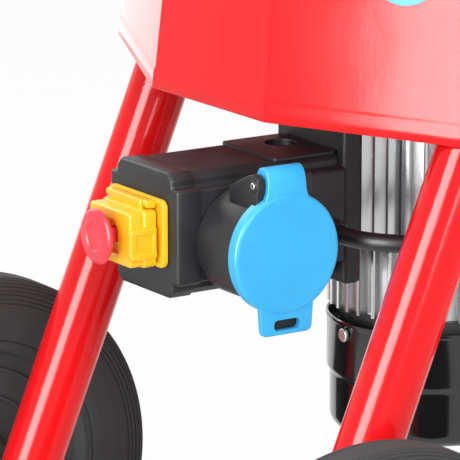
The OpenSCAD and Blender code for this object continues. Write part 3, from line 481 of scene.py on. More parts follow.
@dataclass
class Shell:
    """Closed surfaces in millimetres, gathered to make one piece."""

    points: list[np.ndarray] = field(default_factory=list)
    faces: list[list[int]] = field(default_factory=list)
    count: int = 0

    def grid(self, rows: np.ndarray | list[np.ndarray], wrap_rows: bool = False) -> "Shell":
        """Adds a surface from rows of points, closed round each row, and capped or closed end to end.

        Args:
            rows: points, shaped (rows, columns, 3).
            wrap_rows: joins the last row to the first instead of capping both.

        Returns:
            This shell.
        """
        rows = np.asarray(rows)
        high, wide = rows.shape[:2]
        index = np.arange(high * wide).reshape(high, wide)
        beside = np.roll(index, -1, axis=1)
        quads = np.stack([index, beside, np.roll(beside, -1, axis=0), np.roll(index, -1, axis=0)], axis=2)
        quads = quads if wrap_rows else quads[:-1]
        self.faces += (quads.reshape(-1, 4) + self.count).tolist()
        if not wrap_rows:
            self.faces += [(index[0, ::-1] + self.count).tolist(), (index[-1] + self.count).tolist()]
        self.points.append(rows.reshape(-1, 3))
        self.count += high * wide
        return self

    def extrude(self, corners: np.ndarray, rows: list[Pair], radius: np.ndarray | list[float] | float,
                along: Along = Along.Z, wrap_rows: bool = False, steps: int = 6) -> "Shell":
        """Carries a rounded outline along an axis.

        Args:
            corners: the outline, counter-clockwise.
            rows: (inset, level) for each copy of the outline.
            radius: one radius for its corners, or one for each.
            along: the axis.
            wrap_rows: joins the last row to the first.
            steps: points on each corner.

        Returns:
            This shell.
        """
        bend = turns(corners)
        return self.grid([to_space(rounded(inset(corners, d), radius - bend * d, steps), level, along)
                          for d, level in rows], wrap_rows)

    def revolve(self, profile: np.ndarray | list[Pair], centre: Pair, along: Along,
                segments: int = 64, wrap_rows: bool = False) -> "Shell":
        """Turns a profile round an axis: (u, v) = centre + radius (cos a, sin a) at each level.

        Args:
            profile: rows of (radius, level).
            centre: the axis's place in the plane across it.
            along: the axis.
            segments: points on each circle.
            wrap_rows: closes a ring-shaped profile.

        Returns:
            This shell.
        """
        unit = circle(segments)
        return self.grid([to_space(unit * radius + centre, level, along) for radius, level in profile],
                         wrap_rows)

    def sweep(self, path: np.ndarray, radius: np.ndarray | float, up: Triple, segments: int = 24,
              closed: bool = False) -> "Shell":
        """Carries a circle along a path: point + radius (side cos a + lift sin a), side = tangent x up.

        Args:
            path: the centre line.
            radius: one radius, or one for each point of the path.
            up: a direction that the path never runs along.
            segments: points on each circle.
            closed: joins the path's end to its start.

        Returns:
            This shell.
        """
        tangent = (np.roll(path, -1, axis=0) - np.roll(path, 1, axis=0) if closed
                   else np.gradient(path, axis=0))
        tangent = tangent / np.linalg.norm(tangent, axis=1, keepdims=True)
        side = np.cross(tangent, up)
        side = side / np.linalg.norm(side, axis=1, keepdims=True)
        lift = np.cross(side, tangent)
        unit = circle(segments)[None]
        reach = np.broadcast_to(radius, len(path))[:, None, None]
        rows = path[:, None] + reach * (side[:, None] * unit[..., :1] + lift[:, None] * unit[..., 1:])
        return self.grid(rows, closed)

    def mesh_object(self, name: str) -> Thing:
        """Makes the mesh in metres, merges its poles and turns its faces outwards.

        Args:
            name: the object's name.

        Returns:
            The object, in the scene.
        """
        mesh = bpy.data.meshes.new(name)
        mesh.from_pydata((np.concatenate(self.points) * MM).tolist(), [], self.faces)
        work = bmesh.new()
        work.from_mesh(mesh)
        bmesh.ops.remove_doubles(work, verts=work.verts, dist=MERGE)
        bmesh.ops.recalc_face_normals(work, faces=work.faces)
        work.to_mesh(mesh)
        work.free()
        return in_scene(name, mesh)

    def piece(self, name: str, *nodes: str, body: str = "", slot: str = "",
              crease: float = CREASE_DEG) -> Thing:
        """Makes the mesh object and installs it."""
        return install(self.mesh_object(name), *nodes, body=body, slot=slot, crease=crease)


def in_scene(name: str, data: bpy.types.ID) -> Thing:
    """Makes an object of some data and links it to the scene.

    Args:
        name: the object's name.
        data: a mesh, a lamp or a camera.

    Returns:
        The object.
    """
    thing = bpy.data.objects.new(name, data)
    bpy.context.scene.collection.objects.link(thing)
    return thing


def carve(thing: Thing, cutter: Shell, operation: str = "DIFFERENCE") -> Thing:
    """Cuts a shell out of a piece, or joins it on.

    Args:
        thing: the piece.
        cutter: the shape to cut with, or to add.
        operation: DIFFERENCE or UNION.

    Returns:
        The same piece with its new mesh.
    """
    tool = cutter.mesh_object("cutter")
    modifier = thing.modifiers.new("carve", "BOOLEAN")
    modifier.operation = operation
    modifier.solver = "EXACT"
    modifier.object = tool
    bpy.context.view_layer.update()
    result = bpy.data.meshes.new_from_object(thing.evaluated_get(bpy.context.evaluated_depsgraph_get()))
    thing.modifiers.clear()
    thing.data = result
    bpy.data.objects.remove(tool)
    return thing


def install(thing: Thing, *nodes: str, body: str = "", slot: str = "", edge: float = 0.0,
            crease: float = CREASE_DEG) -> Thing:
    """Dresses a piece, rounds its edges if asked, and puts it on a body.

    Args:
        thing: the piece.
        nodes: the CAD nodes that it stands for.
        body: the CAD body that it rides on; without one, its first node's body.
        slot: its material slot; without one, its first node's slot.
        edge: the width of its rounded edges, or 0.
        crease: the angle past which an edge is sharp.

    Returns:
        The piece.
    """
    body = body or BODIES[nodes[0]]
    slot = slot or SLOTS[nodes[0]]
    thing.data.materials.clear()
    thing.data.materials.append(FINISHES[slot].material())
    thing.data.shade_smooth()
    thing.data.set_sharp_from_angle(angle=math.radians(crease))
    if edge:
        bevel = thing.modifiers.new("edges", "BEVEL")
        bevel.width = edge * MM
        bevel.segments = BEVEL_STEPS
        bevel.limit_method = "ANGLE"
        bevel.angle_limit = math.radians(crease)
        bevel.harden_normals = True
    if nodes:
        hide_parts(*nodes)
    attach(thing, body)
    LOG.info("%s on %s, %d faces", thing.name, body, len(thing.data.polygons))
    return thing


def soften(**edges: float) -> None:
    """Stands copies of CAD nodes, with rounded edges, in the nodes' places.

    Args:
        edges: the width of the rounded edges for each node.
    """
    for node, edge in edges.items():
        mesh = frame["nodes"][node].data.copy()
        work = bmesh.new()
        work.from_mesh(mesh)
        bmesh.ops.remove_doubles(work, verts=work.verts, dist=NODE_MERGE)
        bmesh.ops.dissolve_limit(work, angle_limit=math.radians(FLAT_DEG), verts=work.verts,
                                 edges=work.edges)
        work.to_mesh(mesh)
        work.free()
        install(in_scene(f"{node}_made", mesh), node, edge=edge)


def weld_bead(shell: Shell, loop: np.ndarray, up: Triple, size: float = 2.2) -> None:
    """Adds a rippled bead round a closed loop: size (1 + 0.12 cos a), one ripple each four points."""
    ripple = size * (1 + 0.12 * np.cos(np.arange(len(loop)) * 2 * np.pi / 4))
    shell.sweep(loop, ripple, up, 10, closed=True)


# ---- housing and hopper ----

@dataclass
class BladeHousing:
    """The many-sided sheet-steel housing with its folded lower hem."""

    front_w: float = 122.0
    width: float = 454.0
    depth: float = 334.0
    side_l: float = 180.0
    lean: float = 0.1
    sheet: float = 2.0
    bend: float = 5.0
    hem: float = 0.9
    hem_h: float = 12.0
    top_hole_at: float = 60.0
    throat: Pair = (142.0, 122.0)
    chute_hole: Pair = (110.0, 56.0)
    hole_corner: float = 3.0
    hole_reach: float = 20.0
    chute_cut: Pair = (110.0, 240.0)
    ledge_w: float = 40.0
    badge_drop: float = 19.0
    badge_size: Pair = (20.0, 15.0)

    def __post_init__(self) -> None:
        """Reads the housing's height from its CAD node."""
        self.low, self.high = (corner[2] for corner in span("blade_housing"))

    def outline(self, level: float) -> np.ndarray:
        """The eight corners at a level: they shrink evenly as the housing rises.

        Args:
            level: the height over the floor.

        Returns:
            The corners, counter-clockwise.
        """
        w, d, f, s = self.width / 2, self.depth / 2, self.front_w / 2, self.side_l / 2
        corners = np.array([[-w, -s], [-f, -d], [f, -d], [w, -s], [w, s], [f, d], [-f, d], [-w, s]])
        return corners * (1 - self.lean * (level - self.low) / d)

    def rows(self) -> list[Pair]:
        """The section, from the top's middle, down the outside, round the hem and up inside.

        Returns:
            (inset, level) for each row.
        """
        top, low, t, h = self.high, self.low, self.sheet, self.hem
        bend = [(self.bend * (1 - math.sin(a)), top - self.bend * (1 - math.cos(a)))
                for a in np.linspace(0, np.pi / 2, 6)]
        hem = [(0, low + self.hem_h + 2), (-0.4, low + self.hem_h + 0.8), (-h, low + self.hem_h - 0.6),
               (-h, low + 1.4), (-h + 0.5, low + 0.3), (0.4, low), (t - 0.5, low + 0.3), (t, low + 1.4)]
        inside = [(t, top - t - 3), (t + 1, top - t - 0.6), (t + 3, top - t)]
        return [(self.top_hole_at, top), *bend, *hem, *inside, (self.top_hole_at, top - t)]

    def build(self) -> None:
        """Makes the housing, cuts its openings and adds its inner ledge and its badge."""
        rings = [to_space(rounded(inset(self.outline(z), d), max(self.bend - d, 1.0), 7), z)
                 for d, z in self.rows()]
        thing = Shell().grid(rings).mesh_object("blade_housing_shell")
        top_cut = straight(self.high - self.hole_reach, self.high + self.hole_reach)
        carve(thing, Shell().extrude(rectangle(*self.throat), top_cut, self.hole_corner))
        w, h = self.chute_hole
        middle = (0, span("discharge_chute")[0][2] + self.sheet + h / 2)
        carve(thing, Shell().extrude(rectangle(w, h, middle), straight(*self.chute_cut), self.hole_corner,
                                     Along.Y))
        install(thing, "blade_housing")
        z = span("deck")[1][2]
        rows = [(2, z + 0.1), (2, z + 2), (self.ledge_w, z + 2), (self.ledge_w, z + 0.1)]
        ledge = Shell().extrude(self.outline(z), rows, 4.0, wrap_rows=True)
        install(ledge.mesh_object("housing_ledge"), body="frame", slot="red_paint", edge=0.4)
        self.badge()

    def badge(self) -> None:
        """A plain blue oval plate in the middle of the front right-hand wall."""
        level = self.high - self.badge_drop
        a, b = self.outline(level)[2:4]
        run = (b - a) / np.linalg.norm(b - a)
        out = np.array([run[1], -run[0], self.lean])
        out = out / np.linalg.norm(out)
        across = np.array([run[0], run[1], 0.0])
        rise = np.cross(across, out)
        unit = circle(72)
        oval = self.badge_size[0] * across * unit[:, :1] + self.badge_size[1] * rise * unit[:, 1:]
        centre = np.array([*(a + b) / 2, level])
        rows = [centre + out * lift + scale * oval
                for scale, lift in ((1.0, -0.5), (1.0, 0.35), (0.985, 0.55))]
        Shell().grid(rows).piece("housing_badge", body="frame", slot="lid_blue")


@dataclass
class FeedHopper:
    """The tilting hopper: flange, straight throat, flared mouth with a rolled lip, and hinge knuckle."""

    throat: Pair = (150.0, 130.0)
    throat_h: float = 46.0
    flare_h: float = 310.0
    mouth_d: float = 290.0
    sheet: float = 2.0
    seat: float = 3.0
    flange: Pair = (180.0, 190.0)
    fold: float = 6.0
    lip: float = 8.0
    knuckle_r: float = 6.0
    knuckle_half: float = 22.0
    pin_bore: float = 3.05

    def build(self) -> None:
        """Makes the hopper as one piece on its tilting body."""
        low, high = span("feed_hopper")
        base = low[2]
        z1 = base + self.seat + self.throat_h
        z2 = z1 + self.flare_h
        throat, flange = np.array(self.throat), np.array(self.flange)
        mouth = np.array([high[0] * 2 - 2 * self.lip, self.mouth_d])
        f, rim, wall = self.fold, 2 * self.lip, 2 * self.sheet

        def ring(size: np.ndarray, level: float, radius: float) -> np.ndarray:
            """A rounded rectangle at a level."""
            return to_space(rounded(rectangle(*size), radius, 7), level)

        def flare(at: float, grow: float, radius: float) -> np.ndarray:
            """The ring at a share of the flare's height, its sides longer by grow."""
            return ring(throat + (mouth - throat) * at + grow, z1 + self.flare_h * at, radius + 4 * at)

        outside = [ring(throat, base + 0.5, f), ring(throat, z1 - 1, f), ring(throat + 1.2, z1 + 2, f),
                   *(flare(at, 0, f) for at in (0.25, 0.5, 0.75, 0.985))]
        lip = [ring(mouth + grow, z2 + rise, f + radius)
               for grow, rise, radius in ((4, -1.5, 5), (rim - 1, 0.2, 9), (rim, 2, 9), (rim - 1.5, 3.8, 9),
                                          (4, 4, 6), (-wall, 1.5, 3))]
        inside = [*(flare(at, -wall, f - 2) for at in (0.75, 0.5, 0.25, 0.01)),
                  ring(throat - wall, z1 - 1, f - 2), ring(throat - wall, base + 0.5, f - 2)]
        shell = Shell().grid(outside + lip + inside, wrap_rows=True)
        top = base + self.seat
        shell.grid([ring(throat - wall, base, f), ring(flange - 1, base, 7), ring(flange, base + 0.6, 7.5),
                    ring(flange, top - 0.6, 7.5), ring(flange - 1, top, 7), ring(throat - wall, top, f)],
                   wrap_rows=True)
        seam = rounded(rectangle(*throat), f, 40)
        weld_bead(shell, to_space(seam, top + 0.6), (0, 0, 1), 1.8)
        y, z = sum(span("hopper_hinge_pin"))[1:] / 2
        r, half = self.knuckle_r, self.knuckle_half
        shell.revolve(spool(self.pin_bore, r, -half, half, 0.6), (y, z), Along.X, segments=40, wrap_rows=True)
        shell.extrude(rectangle(2 * half, 2 * r, (0, y - r)), rims(base, base + 5, 0.8), 1.0)
        shell.piece("feed_hopper_shell", "feed_hopper")


@dataclass
class StarKnob:
    """A captive hand knob with six lobes and a domed top."""

    side: str
    radius: float = 17.0
    height: float = 18.0
    stud_r: float = 4.0
    lobes: int = 6

    def build(self) -> None:
        """Makes the knob and its stud: the grip's radius is r (1 - 0.17 (0.5 - 0.5 cos 6a)^1.6)."""
        node = f"knob_{self.side}"
        low, high = span(node)
        centre = (low + high)[:2] / 2
        top, seat, r = high[2], high[2] - self.height, self.stud_r
        unit = circle(144)
        angle = np.linspace(0, 2 * np.pi, len(unit), endpoint=False)
        lobe = self.radius * (1 - 0.17 * (0.5 - 0.5 * np.cos(self.lobes * angle)) ** 1.6)
        shape = [(0.42, seat), (0.62, seat + 2), (0.94, seat + 4.5), (0.985, seat + 6), (1.0, seat + 9),
                 (0.985, top - 4), (0.94, top - 1.8), (0.84, top - 0.5), (0.6, top), (0.3, top)]
        grip = Shell().grid([to_space(unit * (lobe * s)[:, None] + centre, z) for s, z in shape])
        grip.piece(f"{node}_grip", node, slot="black_plastic", crease=50)
        stud = [(0, low[2]), (r - 0.8, low[2]), (r, low[2] + 1), (r, seat + 1), (0, seat + 1)]
        Shell().revolve(stud, tuple(centre), Along.Z, segments=32).piece(f"{node}_stud", body=BODIES[node],
                                                                slot="zinc_steel")


# ---- tube frame ----

@dataclass
class TubeFrame:
    """Four splayed legs, the cross tube and the transport handle, with their welds."""

    leg_x: float = 162.0
    leg_top_y: float = 91.0
    spread: float = 0.411
    tube_r: float = 19.0
    bar_r: float = 12.5
    plate_t: float = 4.0
    plate_w: float = 54.0
    plate_near: float = 40.0
    plate_over: float = 12.0
    plate_in: float = 10.0
    bend: float = 34.0
    ring_pitch: float = 11.8

    def __post_init__(self) -> None:
        """Reads the frame's levels from the CAD."""
        self.body_z = span("blade_housing")[0][2]
        self.deck_z = span("deck")[0][2]
        self.handle_z, self.cross_z = (float(sum(span(node))[2] / 2)
                                       for node in ("transport_handle", "foot_cross_tube"))
        self.grip_low, self.grip_high = span("handle_grip")
        self.slope = math.atan(self.spread)

    def leg_y(self, level: float) -> float:
        """Distance of a leg's centre line from the motor axis at a level."""
        return self.leg_top_y + self.spread * (self.body_z - level)

    def leg_ring(self, side: int, way: int, level: float, grow: float = 0.0, points: int = 72) -> np.ndarray:
        """The ellipse where a leg's surface crosses a level: r cos a across, r sin a / cos(slope) along.

        Args:
            side: 1 or -1 for the right or left leg.
            way: 1 or -1 for a foot leg or a wheel leg.
            level: the height over the floor.
            grow: what the tube's radius grows by.
            points: points on the ellipse.

        Returns:
            The points.
        """
        across, along = ((self.tube_r + grow) * circle(points)).T
        flat = np.column_stack([side * self.leg_x + across,
                                way * self.leg_y(level) + along / math.cos(self.slope)])
        return to_space(flat, level)

    def leg(self, name: str, side: int, way: int) -> None:
        """One leg: its tube, the plate on top and the weld between them.

        Args:
            name: the leg's CAD node.
            side: 1 or -1 for the right or left leg.
            way: 1 or -1 for a foot leg or a wheel leg.
        """
        low, top = span(name)[0][2], self.deck_z - self.plate_t
        levels = [(low, -0.8), (low + 0.8, 0), *((z, 0) for z in np.linspace(low + 20, top - 4, 6)), (top, 0)]
        shell = Shell().grid([self.leg_ring(side, way, z, grow) for z, grow in levels])
        far, near = self.leg_y(self.deck_z) + self.plate_over, self.plate_near
        middle = (side * (self.leg_x - self.plate_in), way * (far + near) / 2)
        shell.extrude(rectangle(self.plate_w, far - near, middle), rims(top, self.deck_z - 0.05, 0.7), 4.0)
        weld_bead(shell, self.leg_ring(side, way, top - 0.4, 1.0, 200), (0, 0, 1))
        shell.piece(f"{name}_tube", name)

    def saddle(self, side: int, level: float, lean_in: bool) -> np.ndarray:
        """The loop where a bar meets a foot leg, for its weld.

        Args:
            side: 1 or -1 for the right or left leg.
            level: the bar's height.
            lean_in: True for the cross tube, which meets the legs from inside; False for the handle.

        Returns:
            The loop's points.
        """
        u, v = ((self.bar_r + 0.8) * circle(120)).T
        across = u * math.cos(self.slope) + v * math.sin(self.slope) if lean_in else u
        reach = np.sqrt((self.tube_r + 0.4) ** 2 - across ** 2)
        if lean_in:
            return np.column_stack([side * (self.leg_x - reach), self.leg_y(level) + u, level + v])
        y = self.leg_y(level) - self.spread * v + reach / math.cos(self.slope)
        return np.column_stack([side * self.leg_x + u, y, level + v])

    def cross_tube(self) -> None:
        """The straight tube between the foot legs, with a weld at each end."""
        ends = np.array([[-1, 0, 0], [1, 0, 0]]) * self.leg_x + [0, self.leg_y(self.cross_z), self.cross_z]
        shell = Shell().sweep(np.linspace(*ends, 24), self.bar_r, (0, 0, 1), 48)
        for side in (-1, 1):
            weld_bead(shell, self.saddle(side, self.cross_z, True), (1, 0, 0))
        shell.piece("foot_cross_bar", "foot_cross_tube")

    def handle(self) -> None:
        """The bent handle bar between the foot legs, its welds and its rubber grip."""
        z, x, b = self.handle_z, self.leg_x, self.bend
        far = float(self.grip_low[1] + self.grip_high[1]) / 2
        turn = np.linspace(0, np.pi / 2, 16)
        corner = np.column_stack([x - b + b * np.cos(turn), far - b + b * np.sin(turn)])
        run = np.linspace((x, self.leg_y(z)), (x, far - b), 12, endpoint=False)
        bar = np.linspace((x - b, far), (0, far), 14)[1:]
        right = np.concatenate([run, corner, bar])
        path = np.concatenate([right, right[:-1][::-1] * [-1, 1]])
        shell = Shell().sweep(to_space(path, z), self.bar_r, (0, 0, 1), 48)
        for side in (-1, 1):
            weld_bead(shell, self.saddle(side, z, False), (0, 1, 0))
        shell.piece("transport_handle_bar", "transport_handle")
        self.grip(far, z)

    def grip(self, y: float, z: float) -> None:
        """The grip: a sleeve with round ends and shallow finger rings, radius R - 0.8 (0.5 + 0.5 cos)^4.

        Args:
            y: the handle bar's place.
            z: its level.
        """
        half, outer, bore = float(self.grip_high[0]), float(self.grip_high[2]) - z, self.bar_r + 0.05
        s = np.linspace(-half + 3, half - 3, 140)
        r = outer - 0.8 * (0.5 + 0.5 * np.cos(s * 2 * np.pi / self.ring_pitch)) ** 4
        profile = [(bore, -half), (outer - 2.2, -half), (outer - 0.6, -half + 1.2), *zip(r, s),
                   (outer - 0.6, half - 1.2), (outer - 2.2, half), (bore, half)]
        sleeve = Shell().revolve(profile, (y, z), Along.X, segments=56, wrap_rows=True)
        sleeve.piece("handle_sleeve", "handle_grip")

    def build(self) -> None:
        """Makes the legs, the bars and the small tube fittings."""
        for name, way in (("wheel_leg", -1), ("foot_leg", 1)):
            for side_name, side in (("left", -1), ("right", 1)):
                self.leg(f"{name}_{side_name}", side, way)
        self.cross_tube()
        self.handle()
        soften(leg_plugs=1.2, rubber_feet=1.5, leg_bolts=0.6, deck=0.6)


# ---- wheels ----

@dataclass
class Wheel:
    """A solid rubber tyre on a dished plastic rim."""

    side: str
    rim_r: float = 84.0
    bore: float = 8.05
    shoulder: float = 11.0
    groove: float = 0.9
    groove_pitch: float = 2.8
    grooved: Pair = (7.0, 33.0)
    step: float = 0.4

    def __post_init__(self) -> None:
        """Reads the wheel's place and size from its tyre's CAD node."""
        low, high = span(f"tyre_{self.side}")
        self.centre = tuple((low + high)[1:] / 2)
        self.mid = float((low + high)[0] / 2)
        self.half = float((high - low)[0] / 2)
        self.radius = float((high - low)[2] / 2)

    def build(self) -> None:
        """Makes the tyre and the rim on this wheel's body."""
        tyre = Shell().revolve(self.tyre_profile(), self.centre, Along.X, segments=128, wrap_rows=True)
        tyre.piece(f"tyre_{self.side}_rubber", f"tyre_{self.side}", crease=48)
        rim = Shell().revolve(self.rim_profile(), self.centre, Along.X, segments=96, wrap_rows=True)
        rim.piece(f"wheel_rim_{self.side}_moulding", f"wheel_rim_{self.side}")

    def tyre_profile(self) -> np.ndarray:
        """The tyre's section: rounded shoulders, with V-shaped grooves round sidewall and tread.

        The plain section is resampled at even steps, then each point moves in along the section's normal
        by groove max(0, cos(2 pi s / pitch))^2, where s is the distance from the tread's middle.

        Returns:
            (radius, level) round the tyre.
        """
        r, h, c, seat = self.radius, self.half, self.shoulder, self.rim_r
        shoulder = [(r - c + c * math.cos(a), h - c + c * math.sin(a)) for a in np.linspace(0, np.pi / 2, 14)]
        half = np.array([(r, 0), *shoulder, (r - 24, h), (seat + 6, h - 1.5), (seat + 1.5, h - 3),
                         (seat + 0.1, h - 5)])
        length = np.concatenate([[0], np.cumsum(np.linalg.norm(np.diff(half, axis=0), axis=1))])
        s = np.append(np.arange(0, length[-1], self.step), length[-1])
        line = np.column_stack([np.interp(s, length, column) for column in half.T])
        tangent = np.gradient(line, axis=0)
        tangent = tangent / np.linalg.norm(tangent, axis=1, keepdims=True)
        normal = np.column_stack([tangent[:, 1], -tangent[:, 0]])
        zone = (s > self.grooved[0]) & (s < self.grooved[1])
        depth = self.groove * np.maximum(0, np.cos(2 * np.pi * s / self.groove_pitch)) ** 2 * zone
        line = line - normal * depth[:, None]
        return np.concatenate([line[::-1] * [1, -1], line[1:]]) + [0, self.mid]

    def rim_profile(self) -> np.ndarray:
        """The rim's section: hub boss, dished web with two rings, and the seat of the tyre.

        Returns:
            (radius, level) round the rim.
        """
        h, r, bore = self.half, self.rim_r, self.bore
        outer = [(bore, h), (bore + 10, h), (bore + 11.5, h - 1.2), (bore + 13, h - 5), (bore + 17, 7.8),
                 (bore + 20, 7), (44, 7), (45, 8.2), (47, 8.2), (48, 7), (62, 7), (63, 8.2), (65, 8.2),
                 (66, 7), (r - 13, 7), (r - 10, 8), (r - 6.8, h - 5.6), (r - 5.4, h - 4.6),
                 (r - 0.4, h - 4.6), (r, h - 5.2)]
        back = [(a, -b) for a, b in reversed(outer)]
        return np.array(outer + back) + [0, self.mid]


# ---- motor ----

@dataclass
class Motor:
    """The finned motor barrel, its pads and the stepped fan cowl."""

    core_r: float = 59.0
    fins: int = 36
    fin_t: float = 3.0
    pad_half: float = 36.0
    pad_root: float = 40.0
    pad_ends: Pair = (50.0, 2.0)
    back_pad_w: float = 56.0
    back_pad_ends: Pair = (40.0, 10.0)
    groove_pitch: float = 10.0
    groove_last_y: float = -44.0
    cup_h: float = 38.0
    cup_bend: float = 9.0
    cowl_sheet: float = 1.5
    vent_rings: tuple[int, ...] = (20, 34, 48)
    vent_r: float = 2.6

    def build(self) -> None:
        """Makes the barrel and the cowl, and rounds the edges of the other motor parts."""
        self.barrel()
        self.cowl()
        soften(motor_flange=1.2, flange_bolts=0.8, cowl_screws=0.7, lower_shield=0.8, cooling_fan=0.5,
               adapter_plate=3.0, capacitor_box=3.0, capacitor=1.5, motor_shaft=0.5)

    def barrel(self) -> None:
        """The extrusion: straight ribs with rounded crests and filleted roots, and two flat pads.

        Each rib is ten points (u, v), turned by its angle to (v cos a - u sin a, v sin a + u cos a).
        """
        low, high = span("motor_barrel")
        z0, z1 = low[2], high[2]
        r, c, h = float(high[0]), self.core_r, self.fin_t / 2
        flank = np.array([(h - 0.8, r), (h - 0.15, r - 0.8), (h, c + 1.2), (h + 0.7, c + 0.25), (h + 2.2, c)])
        u, v = np.concatenate([flank[::-1] * [-1, 1], flank]).T
        cos, sin = circle(self.fins).T[:, :, None]
        section = np.stack([v * cos - u * sin, v * sin + u * cos], axis=2).reshape(-1, 2)
        ends = ((0.985, 0), (0.998, 0.5), (1, 1.2))
        rows = [(scale, z0 + up) for scale, up in ends] + [(scale, z1 - up) for scale, up in ends[::-1]]
        barrel = Shell().grid([to_space(section * scale, z) for scale, z in rows])
        thing = barrel.mesh_object("motor_barrel_extrusion")
        front, back, half, root = float(-low[1]), float(high[1]), self.pad_half, self.pad_root
        grooves = [(half - dx, y + dy) for y in np.arange(9 - front, self.groove_last_y, self.groove_pitch)
                   for dx, dy in ((0, -0.8), (6, -0.5), (6, 0.5), (0, 0.8))]
        side = np.array([(half, -front), *grooves, (half, -root)])
        pad = np.concatenate([side, side[::-1] * [-1, 1]])
        rows = straight(z0 + self.pad_ends[0], z1 - self.pad_ends[1])
        carve(thing, Shell().extrude(pad, rows, 0.25, steps=3), "UNION")
        back_pad = rectangle(self.back_pad_w, back - root, (0, (back + root) / 2))
        rows = rims(z0 + self.back_pad_ends[0], z1 - self.back_pad_ends[1], 0.8)
        carve(thing, Shell().extrude(back_pad, rows, 1.2), "UNION")
        install(thing, "motor_barrel")

    def cowl(self) -> None:
        """The pressed cowl: rolled rim, wide collar, a step to the narrower cup, and vents below."""
        low, high = span("fan_cowl")
        z0, z1, z2 = low[2], low[2] + self.cup_h, high[2]
        r, t, b = float(high[0]) - 1.0, self.cowl_sheet, self.cup_bend
        cup = r - 2.0
        turn = np.linspace(0, np.pi / 2, 7)
        floor, inside = ([(cup - b + arc * math.sin(a), z0 + b - arc * math.cos(a)) for a in turn]
                         for arc in (b, b - t))
        outer = [(0, z0), *floor, (cup, z1 - 3.5), (cup + 0.25, z1 - 1.5), (r - 0.25, z1 + 0.6),
                 (r, z1 + 2.4), (r, z2 - 4), (r + 0.5, z2 - 3), (r + 1, z2 - 1.6), (r + 0.9, z2 - 0.5),
                 (r + 0.2, z2), (r - 0.8, z2 - 0.3), (r - t, z2 - 1.6)]
        inner = [(r - t, z1 + 3), (r - t - 0.3, z1 + 1.8), (cup - t + 0.2, z1), (cup - t, z1 - 2),
                 *inside[::-1], (0, z0 + t)]
        thing = Shell().revolve(outer + inner, (0, 0), Along.Z, segments=128).mesh_object("fan_cowl_pressing")
        vents = Shell()
        for ring_r in self.vent_rings:
            for centre in ring_r * circle(ring_r // 2 + 1):
                vents.revolve(rod(self.vent_r, z0 - 3, z0 + 5), tuple(centre), Along.Z, segments=14)
        install(carve(thing, vents), "fan_cowl")


@dataclass
class MotorLead:
    """The thick lead from the switch box to the capacitor box, with its two screwed glands."""

    radius: float = 5.5
    bend: float = 44.0
    gland_x: float = 54.0
    tucked: float = 6.0
    lead_out: float = 4.0
    sag: float = 2.0
    nut_r: float = 8.4
    nut_ribs: int = 12
    bore: float = 5.6

    def path(self) -> np.ndarray:
        """The route: out of one gland, a quarter turn, a straight run, a quarter turn into the other.

        Returns:
            The centre line's points.
        """
        low, high = span("motor_lead")
        z = float(low[2] + high[2]) / 2
        y0, y1 = float(low[1]) + self.radius, float(high[1]) - self.radius
        x, b = self.gland_x + self.lead_out, self.bend
        a = np.linspace(0, np.pi / 2, 10)
        first = np.column_stack([x + b * np.sin(a), y0 + b * (1 - np.cos(a))])
        last = np.column_stack([first[:, 0], y0 + y1 - first[:, 1]])[::-1]
        run = np.linspace((x + b, y0 + b), (x + b, y1 - b), 8)[1:-1]
        inner = self.gland_x - self.tucked
        flat = np.concatenate([[(inner, y0)], first, run, last, [(inner, y1)]])
        along = np.clip((flat[:, 1] - y0) / (y1 - y0), 0, 1)
        return np.column_stack([flat, z - self.sag * np.sin(np.pi * along) ** 2])

    def gland(self, shell: Shell, start: float, y: float, z: float) -> None:
        """Adds one gland: a flat ring on the wall and a ribbed nut, radius r - 0.5 (0.5 + 0.5 cos 12a)^2.

        Args:
            shell: what it is added to.
            start: the wall's place along X.
            y: the lead's place at the gland.
            z: its level there.
        """
        ring, bore, end = start + 4.4, self.bore, self.gland_x
        shell.revolve([(bore, start + 0.2), (9, start + 0.2), (9, start + 4), (8.6, ring), (bore, ring)],
                      (y, z), Along.X, segments=40, wrap_rows=True)
        unit = circle(96)
        angle = np.linspace(0, 2 * np.pi, len(unit), endpoint=False)
        ribbed = self.nut_r - 0.5 * (0.5 + 0.5 * np.cos(self.nut_ribs * angle)) ** 2
        plain = np.full(len(unit), self.nut_r)
        rows = [(ribbed, ring), (ribbed, end - 4.5), (0.93 * ribbed, end - 2), (0.74 * ribbed, end),
                (0.68 * plain, end), (0.68 * plain, ring)]
        shell.grid([to_space(unit * r[:, None] + [y, z], x, Along.X) for r, x in rows], wrap_rows=True)

    def build(self) -> None:
        path = smooth(self.path(), 3)
        thing = Shell().sweep(path, self.radius, (0, 0, 1), 28).piece("motor_lead_cable", "motor_lead")
        shell = Shell()
        self.gland(shell, span("switch_box_base")[1][0] - 1, *path[0, 1:])
        self.gland(shell, span("capacitor_box")[1][0], *path[-1, 1:])
        shell.piece("lead_gland_nuts", "lead_glands")


# ---- switch box ----

